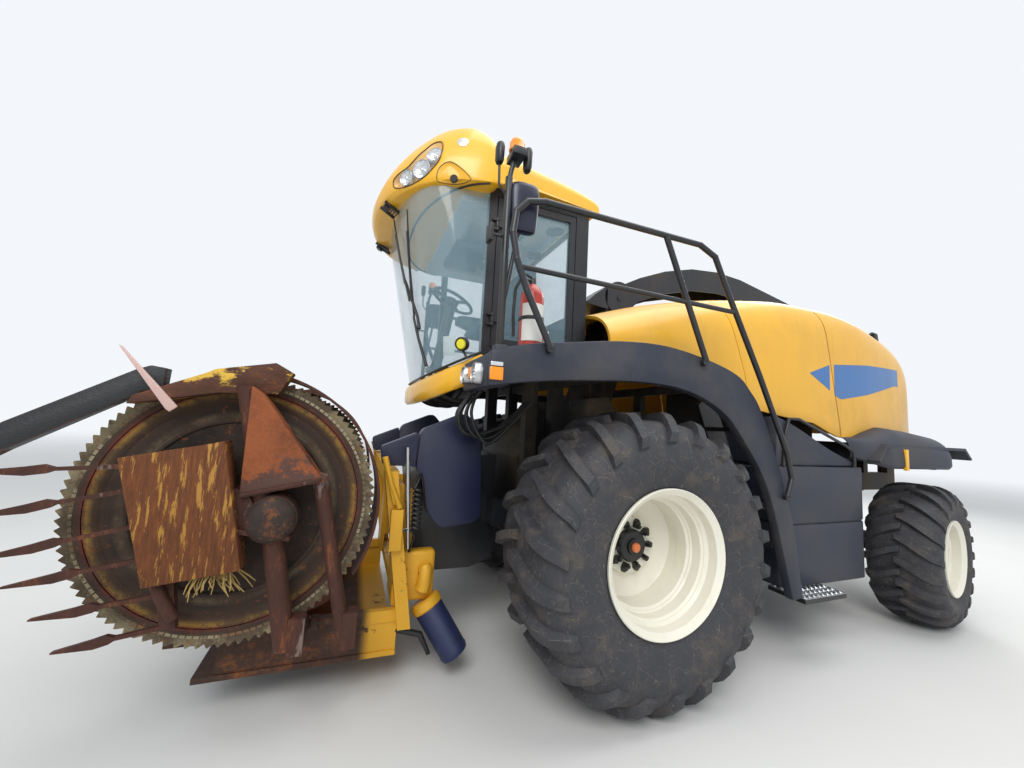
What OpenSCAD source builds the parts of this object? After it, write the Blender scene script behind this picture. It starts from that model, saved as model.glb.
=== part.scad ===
// Self-propelled forage harvester with a folded rotary header.
// Millimetres. +X points forward, +Y to the machine's left, +Z up.
// Every module works in machine coordinates, with x = 0 at the front axle
// and z = 0 on the ground. place() puts the origin under the middle.

/* [Machine] */
// Distance between the front and the rear axle
wheelbase = 3380; // [3300:10:3450]
// Reach of the header's outer divider ahead of the front axle
front_reach = 3600; // [3500:10:3700]
// Reach of the spout's end behind the front axle
rear_reach = 5250; // [5200:10:5350]

/* [Front wheels] */
// Distance between the centres of the front tyres
front_track = 2480; // [2460:10:2540]
// Radius of the front tyre out to the lugs' tips
front_tyre_r = 900; // [890:1:910]
// Width of the front tyre
front_tyre_w = 800; // [760:10:810]
// Radius of the front rim's lip
front_lip_r = 436; // [425:1:445]

/* [Rear wheels] */
// Distance between the centres of the rear tyres
rear_track = 2450; // [2440:10:2480]
// Radius of the rear tyre out to the lugs' tips
rear_tyre_r = 650; // [640:1:655]
// Width of the rear tyre
rear_tyre_w = 540; // [500:10:550]
// Radius of the rear rim's lip
rear_lip_r = 342; // [335:1:350]
// Angle at which the rear wheels stand parked
park_steer = 10; // [0:1:15]

/* [Hood] */
// Half width of the hood
hood_half = 1150; // [1140:5:1160]
// Height of the hood's crown
hood_top = 3050; // [3030:5:3060]
// Thickness of the hood's panels
hood_wall = 30; // [24:1:36]

/* [Cab] */
// Half width of the cab over its doors
cab_half = 865; // [855:1:875]
// Height of the cab's floor
cab_floor = 2150; // [2140:5:2160]
// Height of the underside of the roof
cab_ceiling = 3380; // [3370:5:3400]
// Thickness of the cab's glass
glass_t = 8; // [6:1:10]
// Forward lean of the windscreen
screen_lean = 12; // [11:0.5:13]

/* [Platforms] */
// Distance from the middle to the outer face of the platform's stringer
platform_half = 1450; // [1440:5:1460]
// Thickness of the stringer
stringer_t = 70; // [50:5:75]
// Radius of the handrail's tube
rail_r = 20; // [16:1:22]

/* [Spout] */
// Distance of the spout's turning axis behind the front axle
spout_back = 620; // [610:5:640]
// Height of the spout's lift hinge
spout_hinge_z = 3015; // [3010:5:3030]
// Half width of the fixed duct
duct_half = 150; // [140:1:155]

/* [Header] */
// Distance of the wing's fold hinge from the middle
fold_y = 850; // [845:1:860]
// Height of the wing's fold hinge
fold_z = 470; // [465:1:480]
// Distance of the wing's drum axis ahead of the front axle
wing_disc_x = 2355; // [2345:5:2365]
// Height of the folded drum's axis
wing_disc_z = 1165; // [1160:5:1180]
// Radius of the wing's toothed disc
wing_disc_r = 695; // [675:5:695]
// Radius of the centre drum's disc
mid_disc_r = 345; // [330:1:350]
// Radius of the fold hinge's pin
fold_pin_r = 20; // [16:1:24]

/* [Hidden] */

yellow = "#e0a41c";
dark = "#23252b";
steel = "#4a4d52";
cream = "#e9e6d8";
tyre_black = "#2b2b2d";
rust = "#6f3f20";
glass_blue = "#9fc4d8";

// Flat parts of different pieces may touch. Curved ones keep this gap.
gap = 0.3;
// Radial play of a shaft in its bore
run_fit = 0.05;
shift_x = (rear_reach - front_reach) / 2;

module place() translate([shift_x, 0, 0]) children();
module side(s) {
    if (s > 0) children();
    else mirror([0, 1, 0]) children();
}
// Extrudes an outline drawn in X and Z from y0 to y1
module slab(y0, y1) translate([0, y1, 0]) rotate([90, 0, 0])
    linear_extrude(height = y1 - y0) children();
// Extrudes an outline drawn in Y and Z from x0 to x1
module across(x0, x1) translate([x0, 0, 0]) rotate([90, 0, 90])
    linear_extrude(height = x1 - x0) children();
module box(a, b) translate(a) cube(b - a);
// Cylinder along Y between y0 and y1 at x, z
module y_rod(x, z, y0, y1, r) translate([x, y1, z]) rotate([90, 0, 0])
    cylinder(h = y1 - y0, r = r, $fn = 64);
module x_rod(y, z, x0, x1, r) translate([x0, y, z]) rotate([0, 90, 0])
    cylinder(h = x1 - x0, r = r, $fn = 64);
// Cylinder between two points
module rod(p, q, r) {
    d = q - p;
    turn = atan2(d[1], d[0]);
    tip = acos(d[2] / norm(d));
    translate(p) rotate([0, tip, turn]) rotate([0, 0, 40]) cylinder(h = norm(d), r = r, $fn = 48);
}
// Tube through a row of points, with a ball at each bend
module tube(points, r) {
    for (i = [0:len(points) - 2]) rod(points[i], points[i + 1], r);
    for (i = [1:len(points) - 2]) translate(points[i]) rotate([35, 20, 50]) sphere(r + 1, $fn = 48);
}
function arc(x, z, r, a0, a1, n) =
    [for (i = [0:n]) let (a = a0 + (a1 - a0) * i / n) [x + r * cos(a), z + r * sin(a)]];
// Right half of a rounded nose, from -90 to 90 degrees, growing squarer with n
function nose(a, b, n, steps) =
    [for (i = [0:steps]) let (t = -90 + 180 * i / steps)
        [a * pow(cos(t), 2 / n), b * sign(t) * pow(abs(sin(t)), 2 / n)]];
function moved(points, dx, dz) = [for (p = points) [p[0] + dx, p[1] + dz]];

// Chassis

rail_in = 450;
rail_out = 550;
rail_low = 1120;
rail_high = 1320;
rail_front = 540;
rail_rear = -4500;
cross_members = [rail_rear, -3000, -1500];

module main_frame() color(dark) {
    for (s = [-1, 1]) side(s) {
        box([rail_rear, rail_in, rail_low], [rail_front, rail_out, rail_high]);
        // Brackets to the side tanks
        for (x = [-2200, -1620]) box([x, rail_out - 1, 1180], [x + 80, tank_in, 1280]);
    }
    for (x = cross_members) box([x, -rail_in - 1, rail_low + 20], [x + 100, rail_in + 1, rail_high - 20]);
    // Drawbar with its pin bore
    difference() {
        union() {
            box([drawbar_x - 80, -60, 1020], [rail_rear + 70, 60, 1100]);
            box([rail_rear, -200, 1020], [rail_rear + 70, 200, rail_low + 21]);
        }
        translate([drawbar_x, 0, 1000]) cylinder(h = 200, r = hitch_pin_r, $fn = 64);
    }
}
drawbar_x = -4720;

// Posts, arms and beams that stand on the rails
module frame_posts() color(dark) {
    for (s = [-1, 1]) side(s) {
        // Under the cab, the platforms, the fenders and the hood's rear
        for (x = [200, 430]) box([x, rail_in, rail_high], [x + 100, rail_out, cab_floor - cab_floor_t]);
        box([-650, rail_in, rail_high], [-600, rail_out, deck_z - 69]);
        box([-3960, rail_in, rail_high], [-3880, rail_out, fender_low - 60]);
        box([rail_rear + 60, rail_in, rail_high], [rail_rear + 150, rail_out, hood_base]);
    }
    // Arms that carry the platforms over the front wheels
    for (x = [225, -650]) box([x, -platform_half + stringer_t, deck_z - 70],
        [x + 50, platform_half - stringer_t, deck_z]);
    // Beam under the rear fenders
    box([-3960, -940, fender_low - 61], [-3880, 940, fender_low]);
}
cab_floor_t = 90;
hitch_pin_r = 19;
fender_low = 1640;
hood_base = 1770;

front_shaft_r = 70;
final_drive_r = 240;
front_y = front_track / 2;
module front_axle() color(dark) {
    y_rod(0, front_tyre_r, -700, 700, 150);
    for (s = [-1, 1]) side(s) {
        box([-120, rail_in, front_tyre_r], [120, rail_out, rail_low]);
        y_rod(0, front_tyre_r, 690, 790, 300);
        y_rod(0, front_tyre_r, 789, front_y + front_disc_h - 70, final_drive_r);
        y_rod(0, front_tyre_r, front_y + front_disc_h - 71, front_y + front_hub_h - 5, front_shaft_r);
    }
}

kingpin_y = 900;
kingpin_r = 40;
rear_y = rear_track / 2;
module rear_axle() color(dark) difference() {
    union() {
        box([-wheelbase - 80, -kingpin_y, rear_tyre_r - 80],
            [-wheelbase + 80, kingpin_y, rear_tyre_r + 80]);
        for (s = [-1, 1]) translate([-wheelbase, s * kingpin_y, rear_tyre_r - 80])
            cylinder(h = 160, r = 80, $fn = 64);
        box([-wheelbase - 140, -160, rear_tyre_r + 79],
            [-wheelbase + 140, 160, rail_low - 39]);
        box([-wheelbase - 140, -rail_out, rail_low - 40],
            [-wheelbase + 140, rail_out, rail_low]);
        // Steering cylinder on its brackets
        y_rod(-wheelbase - 190, rear_tyre_r, -260, 260, 50);
        y_rod(-wheelbase - 190, rear_tyre_r, -620, 620, 22);
        for (y = [-200, 200]) box([-wheelbase - 200, y - 20, rear_tyre_r - 30],
            [-wheelbase - 79, y + 20, rear_tyre_r + 30]);
    }
    for (s = [-1, 1]) translate([-wheelbase, s * kingpin_y, 0])
        cylinder(h = 1500, r = kingpin_r + run_fit, $fn = 64);
}

// Knuckle around the end of the rear beam, with its kingpin and spindle
spindle_r = 45;
module knuckle() {
    gap_z = 6;
    z0 = rear_tyre_r - 80 - gap_z;
    z1 = rear_tyre_r + 80 + gap_z;
    for (z = [z0 - 50, z1]) {
        translate([0, 0, z]) cylinder(h = 50, r = 70, $fn = 64);
        box([-60, 0, z], [60, 140, z + 50]);
    }
    translate([0, 0, z0 - 40]) cylinder(h = z1 - z0 + 80, r = kingpin_r, $fn = 64);
    box([-60, 100, z0 - 50], [60, 160, z1 + 50]);
    y_rod(0, rear_tyre_r, 150, rear_y - kingpin_y - 60, spindle_r + 25);
    y_rod(0, rear_tyre_r, rear_y - kingpin_y - 61, rear_y - kingpin_y + 60, spindle_r);
    // Steering arm
    box([-200, -20, z0 - 50], [-50, 20, z0 - 15]);
}
module at_knuckle(s) translate([-wheelbase, s * kingpin_y, 0])
    rotate([0, 0, park_steer]) side(s) children();

// Wheels, drawn around Z with the outer side up

// Casing with its lugs, which run from the middle to both shoulders
module tyre(r, w, bead_r, bead_w, lug, count) {
    casing(r - lug, w - 10, bead_r, bead_w);
    intersection() {
        for (s = [0, 1], i = [0:count - 1]) rotate([0, 0, (i + s / 2) * 360 / count])
            mirror([0, 0, s]) tyre_lug(r, w, lug);
        rotate_extrude($fn = 96) polygon([
            [r - 200, w / 2], [r - 75, w / 2 - 4], [r, w / 2 - 60],
            [r, -w / 2 + 60], [r - 75, -w / 2 + 4], [r - 200, -w / 2]
        ]);
    }
}
module casing(r, w, bead_r, bead_w) {
    h = r - bead_r;
    half = [
        [bead_r, 0], [bead_r, bead_w / 2], [bead_r + 0.10 * h, bead_w / 2 + 15],
        [bead_r + 0.35 * h, w / 2 - 12], [bead_r + 0.60 * h, w / 2 - 2],
        [bead_r + 0.85 * h, w / 2 - 22], [r - 10, w / 2 - 130], [r, 0]
    ];
    lower = [for (i = [len(half) - 2:-1:1]) [half[i][0], -half[i][1]]];
    rotate_extrude($fn = 96) polygon(concat(half, lower));
}
module tyre_lug(r, w, lug) translate([r, 0, 0]) rotate([0, 90, 0]) translate([0, 0, -lug - 30])
    linear_extrude(height = lug + 30) polygon([
        [15, -35], [-w * 0.30, 40], [-w / 2, 130], [-w / 2, 215], [-w * 0.28, 105], [15, 22]
    ]);
front_lug = 52;
front_lugs = 22;
rear_lug = 40;
rear_lugs = 20;
lip_h = 26;
front_bead_r = front_lip_r - lip_h;
front_bead_w = 640;
rear_bead_r = rear_lip_r - lip_h;
rear_bead_w = 440;
module front_tyre() tyre(front_tyre_r, front_tyre_w, front_bead_r, front_bead_w, front_lug, front_lugs);
module rear_tyre() tyre(rear_tyre_r, rear_tyre_w, rear_bead_r, rear_bead_w, rear_lug, rear_lugs);

// Rim outline in radius and height: lips, barrel and a dished disc with its hub
module rim(lip_r, bead_w, disc_h, hub_r, hub_h, shaft_r) {
    barrel = lip_r - lip_h - gap;
    wall = 14;
    inner = barrel - wall;
    outline = [
        [shaft_r + run_fit, disc_h - 60], [hub_r, disc_h - 60], [hub_r, disc_h - 24],
        [inner - 60, disc_h + 60], [inner, disc_h + 70], [inner, -bead_w / 2],
        [lip_r, -bead_w / 2 - 30], [lip_r, -bead_w / 2 - 16], [barrel, -bead_w / 2 - gap],
        [barrel, bead_w / 2 + gap], [lip_r, bead_w / 2 + 16], [lip_r, bead_w / 2 + 30],
        [inner, bead_w / 2], [inner, disc_h + 90], [inner - 66, disc_h + 78],
        [hub_r, disc_h], [hub_r, disc_h + hub_h], [shaft_r + run_fit, disc_h + hub_h]
    ];
    rotate_extrude($fn = 96) polygon(outline);
}
module front_rim() {
    rim(front_lip_r, front_bead_w, front_disc_h, 180, 40, front_shaft_r);
    // Hub cap and studs
    difference() {
        translate([0, 0, front_disc_h + 30]) cylinder(h = 60, r = 110, $fn = 64);
        translate([0, 0, front_disc_h + 20]) cylinder(h = front_hub_h - front_disc_h - 20,
            r = front_shaft_r + run_fit, $fn = 64);
    }
    for (a = [0:36:324]) rotate([0, 0, a]) translate([160, 0, front_disc_h + 30])
        cylinder(h = 45, r = 17, $fn = 24);
}
// Height of the front rim's disc and of the inside of its cap over the wheel's middle
front_disc_h = -80;
front_hub_h = -30;
module rear_rim() {
    rim(rear_lip_r, rear_bead_w, 10, 150, 30, spindle_r);
    difference() {
        translate([0, 0, 30]) cylinder(h = 60, r = 80, $fn = 64);
        translate([0, 0, 20]) cylinder(h = 50, r = spindle_r + run_fit, $fn = 64);
    }
    for (a = [0:45:315]) rotate([0, 0, a]) translate([118, 0, 30]) cylinder(h = 30, r = 13, $fn = 24);
}
module at_front_wheel(s) side(s) translate([0, front_y, front_tyre_r]) rotate([-90, 0, 0]) children();
module at_rear_wheel(s) at_knuckle(s) translate([0, rear_y - kingpin_y, rear_tyre_r])
    rotate([-90, 0, 0]) children();

// Engine, chopper and the duct up to the spout

module engine_block() color(steel) box([-2880, -600, rail_high], [-1950, 600, 2300]);

chop_half = 440;
module chopper_housing() color(dark) {
    slab(-chop_half, chop_half) polygon([
        [-240, 1060], [180, 1060], [300, 700], [470, 700], [540, 760], [540, 1400],
        [420, 1640], [120, 1900], [-330, 1960], [-480, 1720], [-440, 1300]
    ]);
    // Duct behind the cab
    slab(-170, 170) polygon([
        [-330, 1900], [-200, 1900], [-spout_back + 170, 2690],
        [-spout_back - 170, 2690], [-480, 1720]
    ]);
    for (s = [-1, 1]) side(s) {
        box([-60, chop_half - 1, 1150], [60, rail_in, 1250]);
        // Pin on which the header lifts
        y_rod(lift_pin[0], lift_pin[1], chop_half - 1, 605, lift_r);
    }
}

// Side tanks between the wheels, with a cover that slopes back

tank_in = 620;
tank_out = 1280;
tank_low = 500;
tank_high = 1450;
tank_front = -1420;
tank_rear = -2515;
module side_tanks() color(dark) for (s = [-1, 1]) side(s) {
    corner = 90;
    translate([0, 0, tank_low]) linear_extrude(height = tank_high - tank_low) polygon(concat(
        [[tank_rear, tank_in]], [[tank_front, tank_in]],
        arc(tank_front - corner, tank_out - corner, corner, 0, 90, 6),
        arc(tank_rear + corner, tank_out - corner, corner, 90, 180, 6)));
    slab(760, tank_out - 25) polygon([
        [-1380, tank_high - 1], [tank_rear + 115, tank_high - 1], [-2420, 1480], [-2330, 1510],
        [-1680, 1760], [-1400, 1850]
    ]);
}

// Platforms: arch stringer, deck and front box

stringer_top = [[1140, 2070], [930, 2130], [620, 2180], [260, 2230], [-80, 2240],
    [-430, 2190], [-710, 2110], [-840, 2010], [-980, 1820], [-1250, 1170], [-1380, 510]];
stringer_low = [[-1270, 500], [-1030, 1270], [-760, 1660], [-560, 1840], [-270, 1950],
    [90, 1980], [580, 1950], [920, 1910], [1200, 1850]];
deck_z = 2060;
module platform() {
    slab(platform_half - stringer_t, platform_half) polygon(concat(stringer_top, stringer_low));
    // Deck beside the cab and beside the hood
    box([-700, hood_half + 10, deck_z], [160, platform_half - stringer_t + 1, deck_z + 40]);
    box([159, cab_half + 35, deck_z], [1000, platform_half - stringer_t + 1, deck_z + 40]);
    // Box at the front corner, which carries the lamps
    slab(cab_half + 35, platform_half - stringer_t + 1) polygon([
        [1000, 1890], [lamp_face_x, 1870], [lamp_face_x, 2050], [1100, 2085], [960, 2110],
        [960, 2050], [1000, 2050]
    ]);
    // Pad under the mirror's post
    box([post_x - 40, platform_half - stringer_t, 2040], [post_x + 40, platform_half, post_z]);
}
lamp_face_x = 1150;
post_z = 2110;
post_x = 1080;
post_y = platform_half - 50;

module ladder() color(dark) {
    step_y0 = 1060;
    step_y1 = platform_half - stringer_t;
    // Inner stringer, parallel to the outer one
    slab(step_y0 - 40, step_y0) polygon([
        [-860, 1990], [-1000, 1800], [-1270, 1150], [-1380, 640],
        [-1270, 640], [-1100, 1190], [-840, 1700], [-760, 1900]
    ]);
    steps = [[-1300, 860], [-1210, 1140], [-1090, 1420], [-940, 1700]];
    for (p = steps) box([p[0], step_y0 - 1, p[1]], [p[0] + 160, step_y1, p[1] + 30]);
    // Bottom step hung under the tank
    box([-1880, tank_out - 120, tank_low - 38], [-1400, platform_half, tank_low - 8]);
    for (x = [-1870, -1500]) box([x, tank_out - 110, tank_low - 9], [x + 20, tank_out - 20, tank_low]);
}

handrail_y = platform_half + 25;
rail_points = [[795, 2115], [960, 2430], [1030, 2600], [1063, 2750], [1050, 2880], [985, 2955],
    [870, 2982], [-330, 2982], [-470, 2923], [-583, 2702], [-909, 2107], [-1185, 1566], [-1234, 1380],
    [-1185, 1250]];
module handrail() {
    y = handrail_y;
    tube([for (p = rail_points) [p[0], y, p[1]]], rail_r);
    rod([-30, y, 2982], [-390, y, 2170], rail_r);
    rod([1008, y, 2562], [-650, y, 2550], rail_r - 4);
    // Feet on the stringer's outer face
    for (p = [rail_points[0], [-385, 2160], rail_points[13]])
        y_rod(p[0], p[1], platform_half, y + 9, rail_r + 6);
}

// Cab

cab_rear = 200;
pillar_a = 970;
screen_low = [1360, 1980];
nose_n = 2.6;
steps_n = 16;
// How far the windscreen and the nose reach ahead of pillar A
screen_bulge = 390;
nose_bulge = 430;
// Plane that ends the windscreen and starts the nose, rising to the rear
module below_screen(drop) slab(-1200, 1200) polygon([
    [900, 1000], [1500, 1000], [1500, 1910 - drop], [900, 2215 - drop]
]);
// Leaning prism in front of pillar A whose outline is inset by w
module screen_prism(w) translate([pillar_a, 0, screen_low[1]]) rotate([0, screen_lean, 0])
    translate([-700, 0, -400]) linear_extrude(height = 2100) polygon(concat(
        [[-200, cab_half - w], [-200, -cab_half + w]],
        moved(nose(screen_bulge - w, cab_half - w, nose_n, steps_n), 700, 0)));
module windscreen() color(glass_blue, 0.5) difference() {
    intersection() {
        screen_prism(0);
        box([pillar_a + 60, -1000, 1700], [2000, 1000, cab_ceiling - gap]);
    }
    screen_prism(glass_t);
    below_screen(-gap);
}
module cab_nose() color(yellow) {
    difference() {
        intersection() {
            box([pillar_a + 60, -1000, 1700], [2000, 1000, 2400]);
            below_screen(0);
            translate([pillar_a, 0, 0]) linear_extrude(height = 3000)
                polygon(nose(nose_bulge, cab_half + 30, nose_n, steps_n));
        }
        below_screen(190);
        translate([pillar_a, 0, 0]) linear_extrude(height = 3000)
            polygon(nose(nose_bulge - 60, cab_half - 30, nose_n, steps_n));
    }
    // Floor of the nose
    intersection() {
        slab(-1000, 1000) polygon([[pillar_a + 60, 1990], [1500, 1780], [1500, 1805], [pillar_a + 60, 2015]]);
        translate([pillar_a, 0, 0]) linear_extrude(height = 3000)
            polygon(nose(nose_bulge - 50, cab_half - 20, nose_n, steps_n));
    }
}
module cab_frame() color(dark) {
    box([cab_rear, -cab_half, cab_floor - cab_floor_t], [pillar_a + 60, cab_half, cab_floor]);
    // Rear pillars, front pillars, rails under the roof
    for (s = [-1, 1]) side(s) {
        box([cab_rear, cab_half - 90, cab_floor - 1], [cab_rear + 110, cab_half, cab_ceiling]);
        box([pillar_a, cab_half - 60, cab_floor - 1], [pillar_a + 60, cab_half, cab_ceiling]);
        box([cab_rear, cab_half - 60, cab_ceiling - 60], [pillar_a + 60, cab_half, cab_ceiling]);
    }
    // Sill under the door and under the fixed glass on the right
    for (s = [-1, 1]) side(s)
        box([cab_rear, cab_half - 60, cab_floor - 1], [pillar_a + 1, cab_half, cab_floor + sill_h]);
    box([cab_rear, -cab_half, cab_ceiling - 60], [cab_rear + 60, cab_half, cab_ceiling]);
    box([cab_rear, -cab_half, cab_floor - 1], [cab_rear + 60, cab_half, cab_floor + 420]);
    // Lugs and pins of the door's hinges
    for (z = door_hinges) {
        for (dz = [-45, 25]) {
            z_rod(door_pin, z + dz, z + dz + 20, 12);
            box([door_pin[0], cab_half - 1, z + dz], [door_pin[0] + 40, cab_half + 20, z + dz + 20]);
        }
        z_rod(door_pin, z - 45, z + 45, door_pin_r);
    }
}
side_x0 = cab_rear + 110;
sill_h = 50;
module cab_glass() color(glass_blue, 0.5) {
    // Fixed right pane and the rear pane
    box([side_x0, -cab_half + 20, cab_floor + sill_h],
        [pillar_a, -cab_half + 20 + glass_t, cab_ceiling - 60]);
    box([cab_rear + 20, -cab_half + 90, cab_floor + 420],
        [cab_rear + 20 + glass_t, cab_half - 90, cab_ceiling - 60]);
}
// Door, hinged at pillar A on the left side
door_gap = 6;
door_t = 40;
door_hinges = [cab_floor + 250, cab_ceiling - 280];
door_pin = [pillar_a - 3, cab_half + 15];
door_pin_r = 6;
module z_rod(p, z0, z1, r) translate([p[0], p[1], z0]) cylinder(h = z1 - z0, r = r, $fn = 64);
module door_frame() color(dark) difference() {
    x0 = side_x0 + door_gap;
    x1 = pillar_a - door_gap;
    z0 = cab_floor + sill_h + door_gap;
    z1 = cab_ceiling - 60 - door_gap;
    y1 = cab_half;
    union() {
        difference() {
            box([x0, y1 - door_t, z0], [x1, y1, z1]);
            box([x0 + 50, 0, z0 + 60], [x1 - 50, 2000, z1 - 50]);
        }
        for (z = door_hinges) {
            z_rod(door_pin, z - 20, z + 20, 12);
            box([door_pin[0] - 40, y1 - 1, z - 20], [door_pin[0], y1 + 20, z + 20]);
        }
    }
    for (z = door_hinges) z_rod(door_pin, z - 60, z + 60, door_pin_r + run_fit);
}
module door_glass() color(glass_blue, 0.5) {
    x0 = side_x0 + door_gap + 50;
    x1 = pillar_a - door_gap - 50;
    z0 = cab_floor + sill_h + door_gap + 60;
    z1 = cab_ceiling - 60 - door_gap - 50;
    box([x0, cab_half - 24, z0], [x1, cab_half - 24 + glass_t, z1]);
}

// Roof with its visor: two lobes over the sides and a lower brow between
roof_plan = concat([[130, 900], [130, -900], [700, -960], [950, -1000]],
    moved(nose(860, 1000, 2.3, 20), 950, 0), [[950, 1000], [700, 960]]);
drawn_ceiling = 3380;
roof_lift = cab_ceiling - drawn_ceiling;
roof_side = [[130, 3480], [160, 3510], [400, 3570], [900, 3610], [1010, 3640], [1080, 3760],
    [1180, 3835], [1320, 3850], [1480, 3800], [1640, 3690], [1760, 3560], [1810, 3460],
    [1790, 3340], [1700, 3280], [1050, 3300], [1000, drawn_ceiling], [130, drawn_ceiling]];
roof_front = [[-1000, 3360], [-950, 3320], [-500, 3290], [500, 3290], [950, 3320], [1000, 3360],
    [1000, 3440], [960, 3620], [880, 3770], [760, 3845], [640, 3850], [500, 3790], [330, 3680],
    [120, 3620], [-120, 3620], [-330, 3680], [-500, 3790], [-640, 3850], [-760, 3845],
    [-880, 3770], [-960, 3620], [-1000, 3440]];
module cab_roof() color(yellow) difference() {
    intersection() {
        linear_extrude(height = 6000) polygon(roof_plan);
        slab(-1100, 1100) polygon(moved(roof_side, 0, roof_lift));
        across(0, 2000) polygon(moved(roof_front, 0, roof_lift));
    }
    // The windscreen and the cab stand inside the visor
    difference() {
        screen_prism(-gap);
        box([0, -2000, cab_ceiling], [4000, 2000, 6000]);
    }
    box([cab_rear - 1, -cab_half - gap, 3000], [pillar_a + 61, cab_half + gap, cab_ceiling]);
    // Recesses for the lamps
    for (s = [-1, 1]) side(s) lamp_cuts(0);
}
// Round work lamps look forward from the brow and the lobes
lamp_rows = [
    // x, y, z, radius, turn, tilt
    [1640, 420, 3580, 70, 22, 78],
    [1690, 270, 3520, 70, 14, 80]
];
module lamp_cuts(g) for (p = lamp_rows) translate([p[0], p[1], p[2] + roof_lift]) rotate([0, p[5], p[4]])
    translate([0, 0, -60]) cylinder(h = 300, r = p[3] - g, $fn = 48);
module roof_lamps() color("white") for (s = [-1, 1]) side(s)
    for (p = lamp_rows) translate([p[0], p[1], p[2] + roof_lift]) rotate([0, p[5], p[4]])
        translate([0, 0, -60]) cylinder(h = 70, r = p[3] - gap, $fn = 48);

module headliner() color("#cfcabd") difference() {
    box([side_x0 + 1, -cab_half + 61, cab_ceiling - 120], [pillar_a + 250, cab_half - 61, cab_ceiling]);
    box([cab_rear + 140, -600, cab_ceiling - 200], [pillar_a + 100, 600, cab_ceiling - 60]);
}
module seat() color("#2c3f5c") {
    box([420, -200, cab_floor], [760, 200, cab_floor + 300]);
    box([380, -260, cab_floor + 299], [880, 260, cab_floor + 420]);
    box([330, -240, cab_floor + 400], [450, 240, cab_floor + 1000]);
    // Arm console on the right
    box([520, -380, cab_floor + 380], [960, -261, cab_floor + 560]);
    box([520, -300, cab_floor + 380], [700, -250, cab_floor + 419]);
}
module steering_column() color("#3a3c40") {
    rod([1180, 0, cab_floor - 20], [1080, 0, cab_floor + 560], 45);
    translate([1070, 0, cab_floor + 600]) rotate([0, -25, 0]) {
        rotate_extrude($fn = 64) translate([190, 0]) circle(14, $fn = 24);
        translate([0, 0, -60]) cylinder(h = 70, r = 60, $fn = 48);
        for (a = [0, 120, 240]) rotate([0, 0, a]) box([40, -14, -12], [185, 14, 6]);
    }
    box([pillar_a + 60, -120, cab_floor - 60], [1250, 120, cab_floor - 19]);
}

module corner_lamps() for (s = [-1, 1]) side(s) {
    color("white") translate([lamp_face_x, platform_half - 390, 1960]) rotate([0, 90, 0])
        cylinder(h = 50, r = 55, $fn = 48);
    color("orange") box([lamp_face_x, platform_half - 270, 1925],
        [lamp_face_x + 50, platform_half - 160, 1995]);
}
// Post on the platform's corner, with the mirror, two lamps and the beacon
module mirror_post() {
    color(dark) {
        rod([post_x, post_y, post_z], [post_x, post_y, 3120], 22);
        rod([post_x, post_y, 2300], [post_x - 80, post_y, 2830], 14);
        rod([post_x, post_y, 3090], [post_x - 40, post_y, 3270], 16);
        box([880, post_y - 40, 2800], [post_x - 10, post_y + 40, 3100]);
        box([1000, post_y - 70, 3240], [1080, post_y + 70, 3290]);
    }
    color("orange") {
        translate([1040, post_y, 3280]) cylinder(h = 50, r = 45, $fn = 48);
        translate([1040, post_y, 3330]) sphere(44, $fn = 48);
    }
}
module extinguisher() color("red") {
    translate([850, platform_half - 150, deck_z + 40]) cylinder(h = 380, r = 75, $fn = 64);
    translate([850, platform_half - 150, deck_z + 419]) cylinder(h = 60, r1 = 60, r2 = 22, $fn = 48);
    translate([850, platform_half - 150, deck_z + 470]) cylinder(h = 40, r = 20, $fn = 32);
}

// Hood

// Drawn for a crown at 3050 and a half width of 1150
hood_drawn = [3050, 1150];
hood_front_x = 150;
hood_rear_x = -4500;
hood_side_top = [[hood_front_x, 2600], [-400, 2775], [-1050, 2925], [-1700, 3022], [-1950, 3042],
    [-2450, 3050], [-2900, 3000], [-3460, 2885], [-3900, 2720], [-4200, 2440], [-4400, 2080],
    [-4480, 1720]];
hood_plan = [[hood_front_x, 1150], [-2500, 1150], [-3100, 1120], [-3700, 1030], [-4130, 870],
    [-4380, 650], [-4480, 350], [hood_rear_x, 150]];
shoulder = [[1150, 2500], [1140, 2730], [1080, 2880], [950, 2980], [700, 3035], [350, 3050]];
hood_low = [[-4480, hood_base], [-3900, hood_base], [-3300, 1800], [-2850, 1815], [-2560, 1700],
    [-2370, 1700], [-2030, 1820], [-1580, 1860], [-1240, 1900], [-1000, deck_z], [hood_front_x, deck_z]];
module hood_solid(w) {
    up = hood_top - hood_drawn[0] - w;
    out = hood_half - hood_drawn[1] - w;
    top = [for (p = hood_side_top) [p[0] < -3800 ? p[0] + w : p[0], p[1] + up]];
    plan = [for (p = hood_plan) [p[0] < -3800 ? p[0] + w : p[0], p[1] + out]];
    section = moved(shoulder, out, up);
    intersection() {
        slab(-1400, 1400) polygon(concat(top, [[hood_rear_x + 10 + w, 1000], [hood_front_x, 1000]]));
        linear_extrude(height = 4000) polygon(concat(plan,
            [for (i = [len(plan) - 1:-1:0]) [plan[i][0], -plan[i][1]]]));
        across(-5000, 1000) polygon(concat([[section[0][0], 1000]], section,
            [for (i = [len(section) - 1:-1:0]) [-section[i][0], section[i][1]]], [[-section[0][0], 1000]]));
    }
}
module hood_shell() difference() {
    hood_solid(0);
    hood_solid(hood_wall);
    slab(-1400, 1400) polygon(concat([[-5000, 900], [-5000, hood_base]], hood_low,
        [[400, deck_z], [400, 900]]));
    // Hole for the spout
    translate([-spout_back, 0, 2400]) cylinder(h = 800, r = 250, $fn = 96);
}
// Seams that slant with the door's ends
seam_a = [[-960, 3200], [-960, 2760], [-1170, 2180], [-1285, 1550]];
seam_b = [[-2180, 3200], [-2180, 2880], [-2400, 1780], [-2415, 1550]];
seam = 6;
lid_y = 780;
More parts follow.
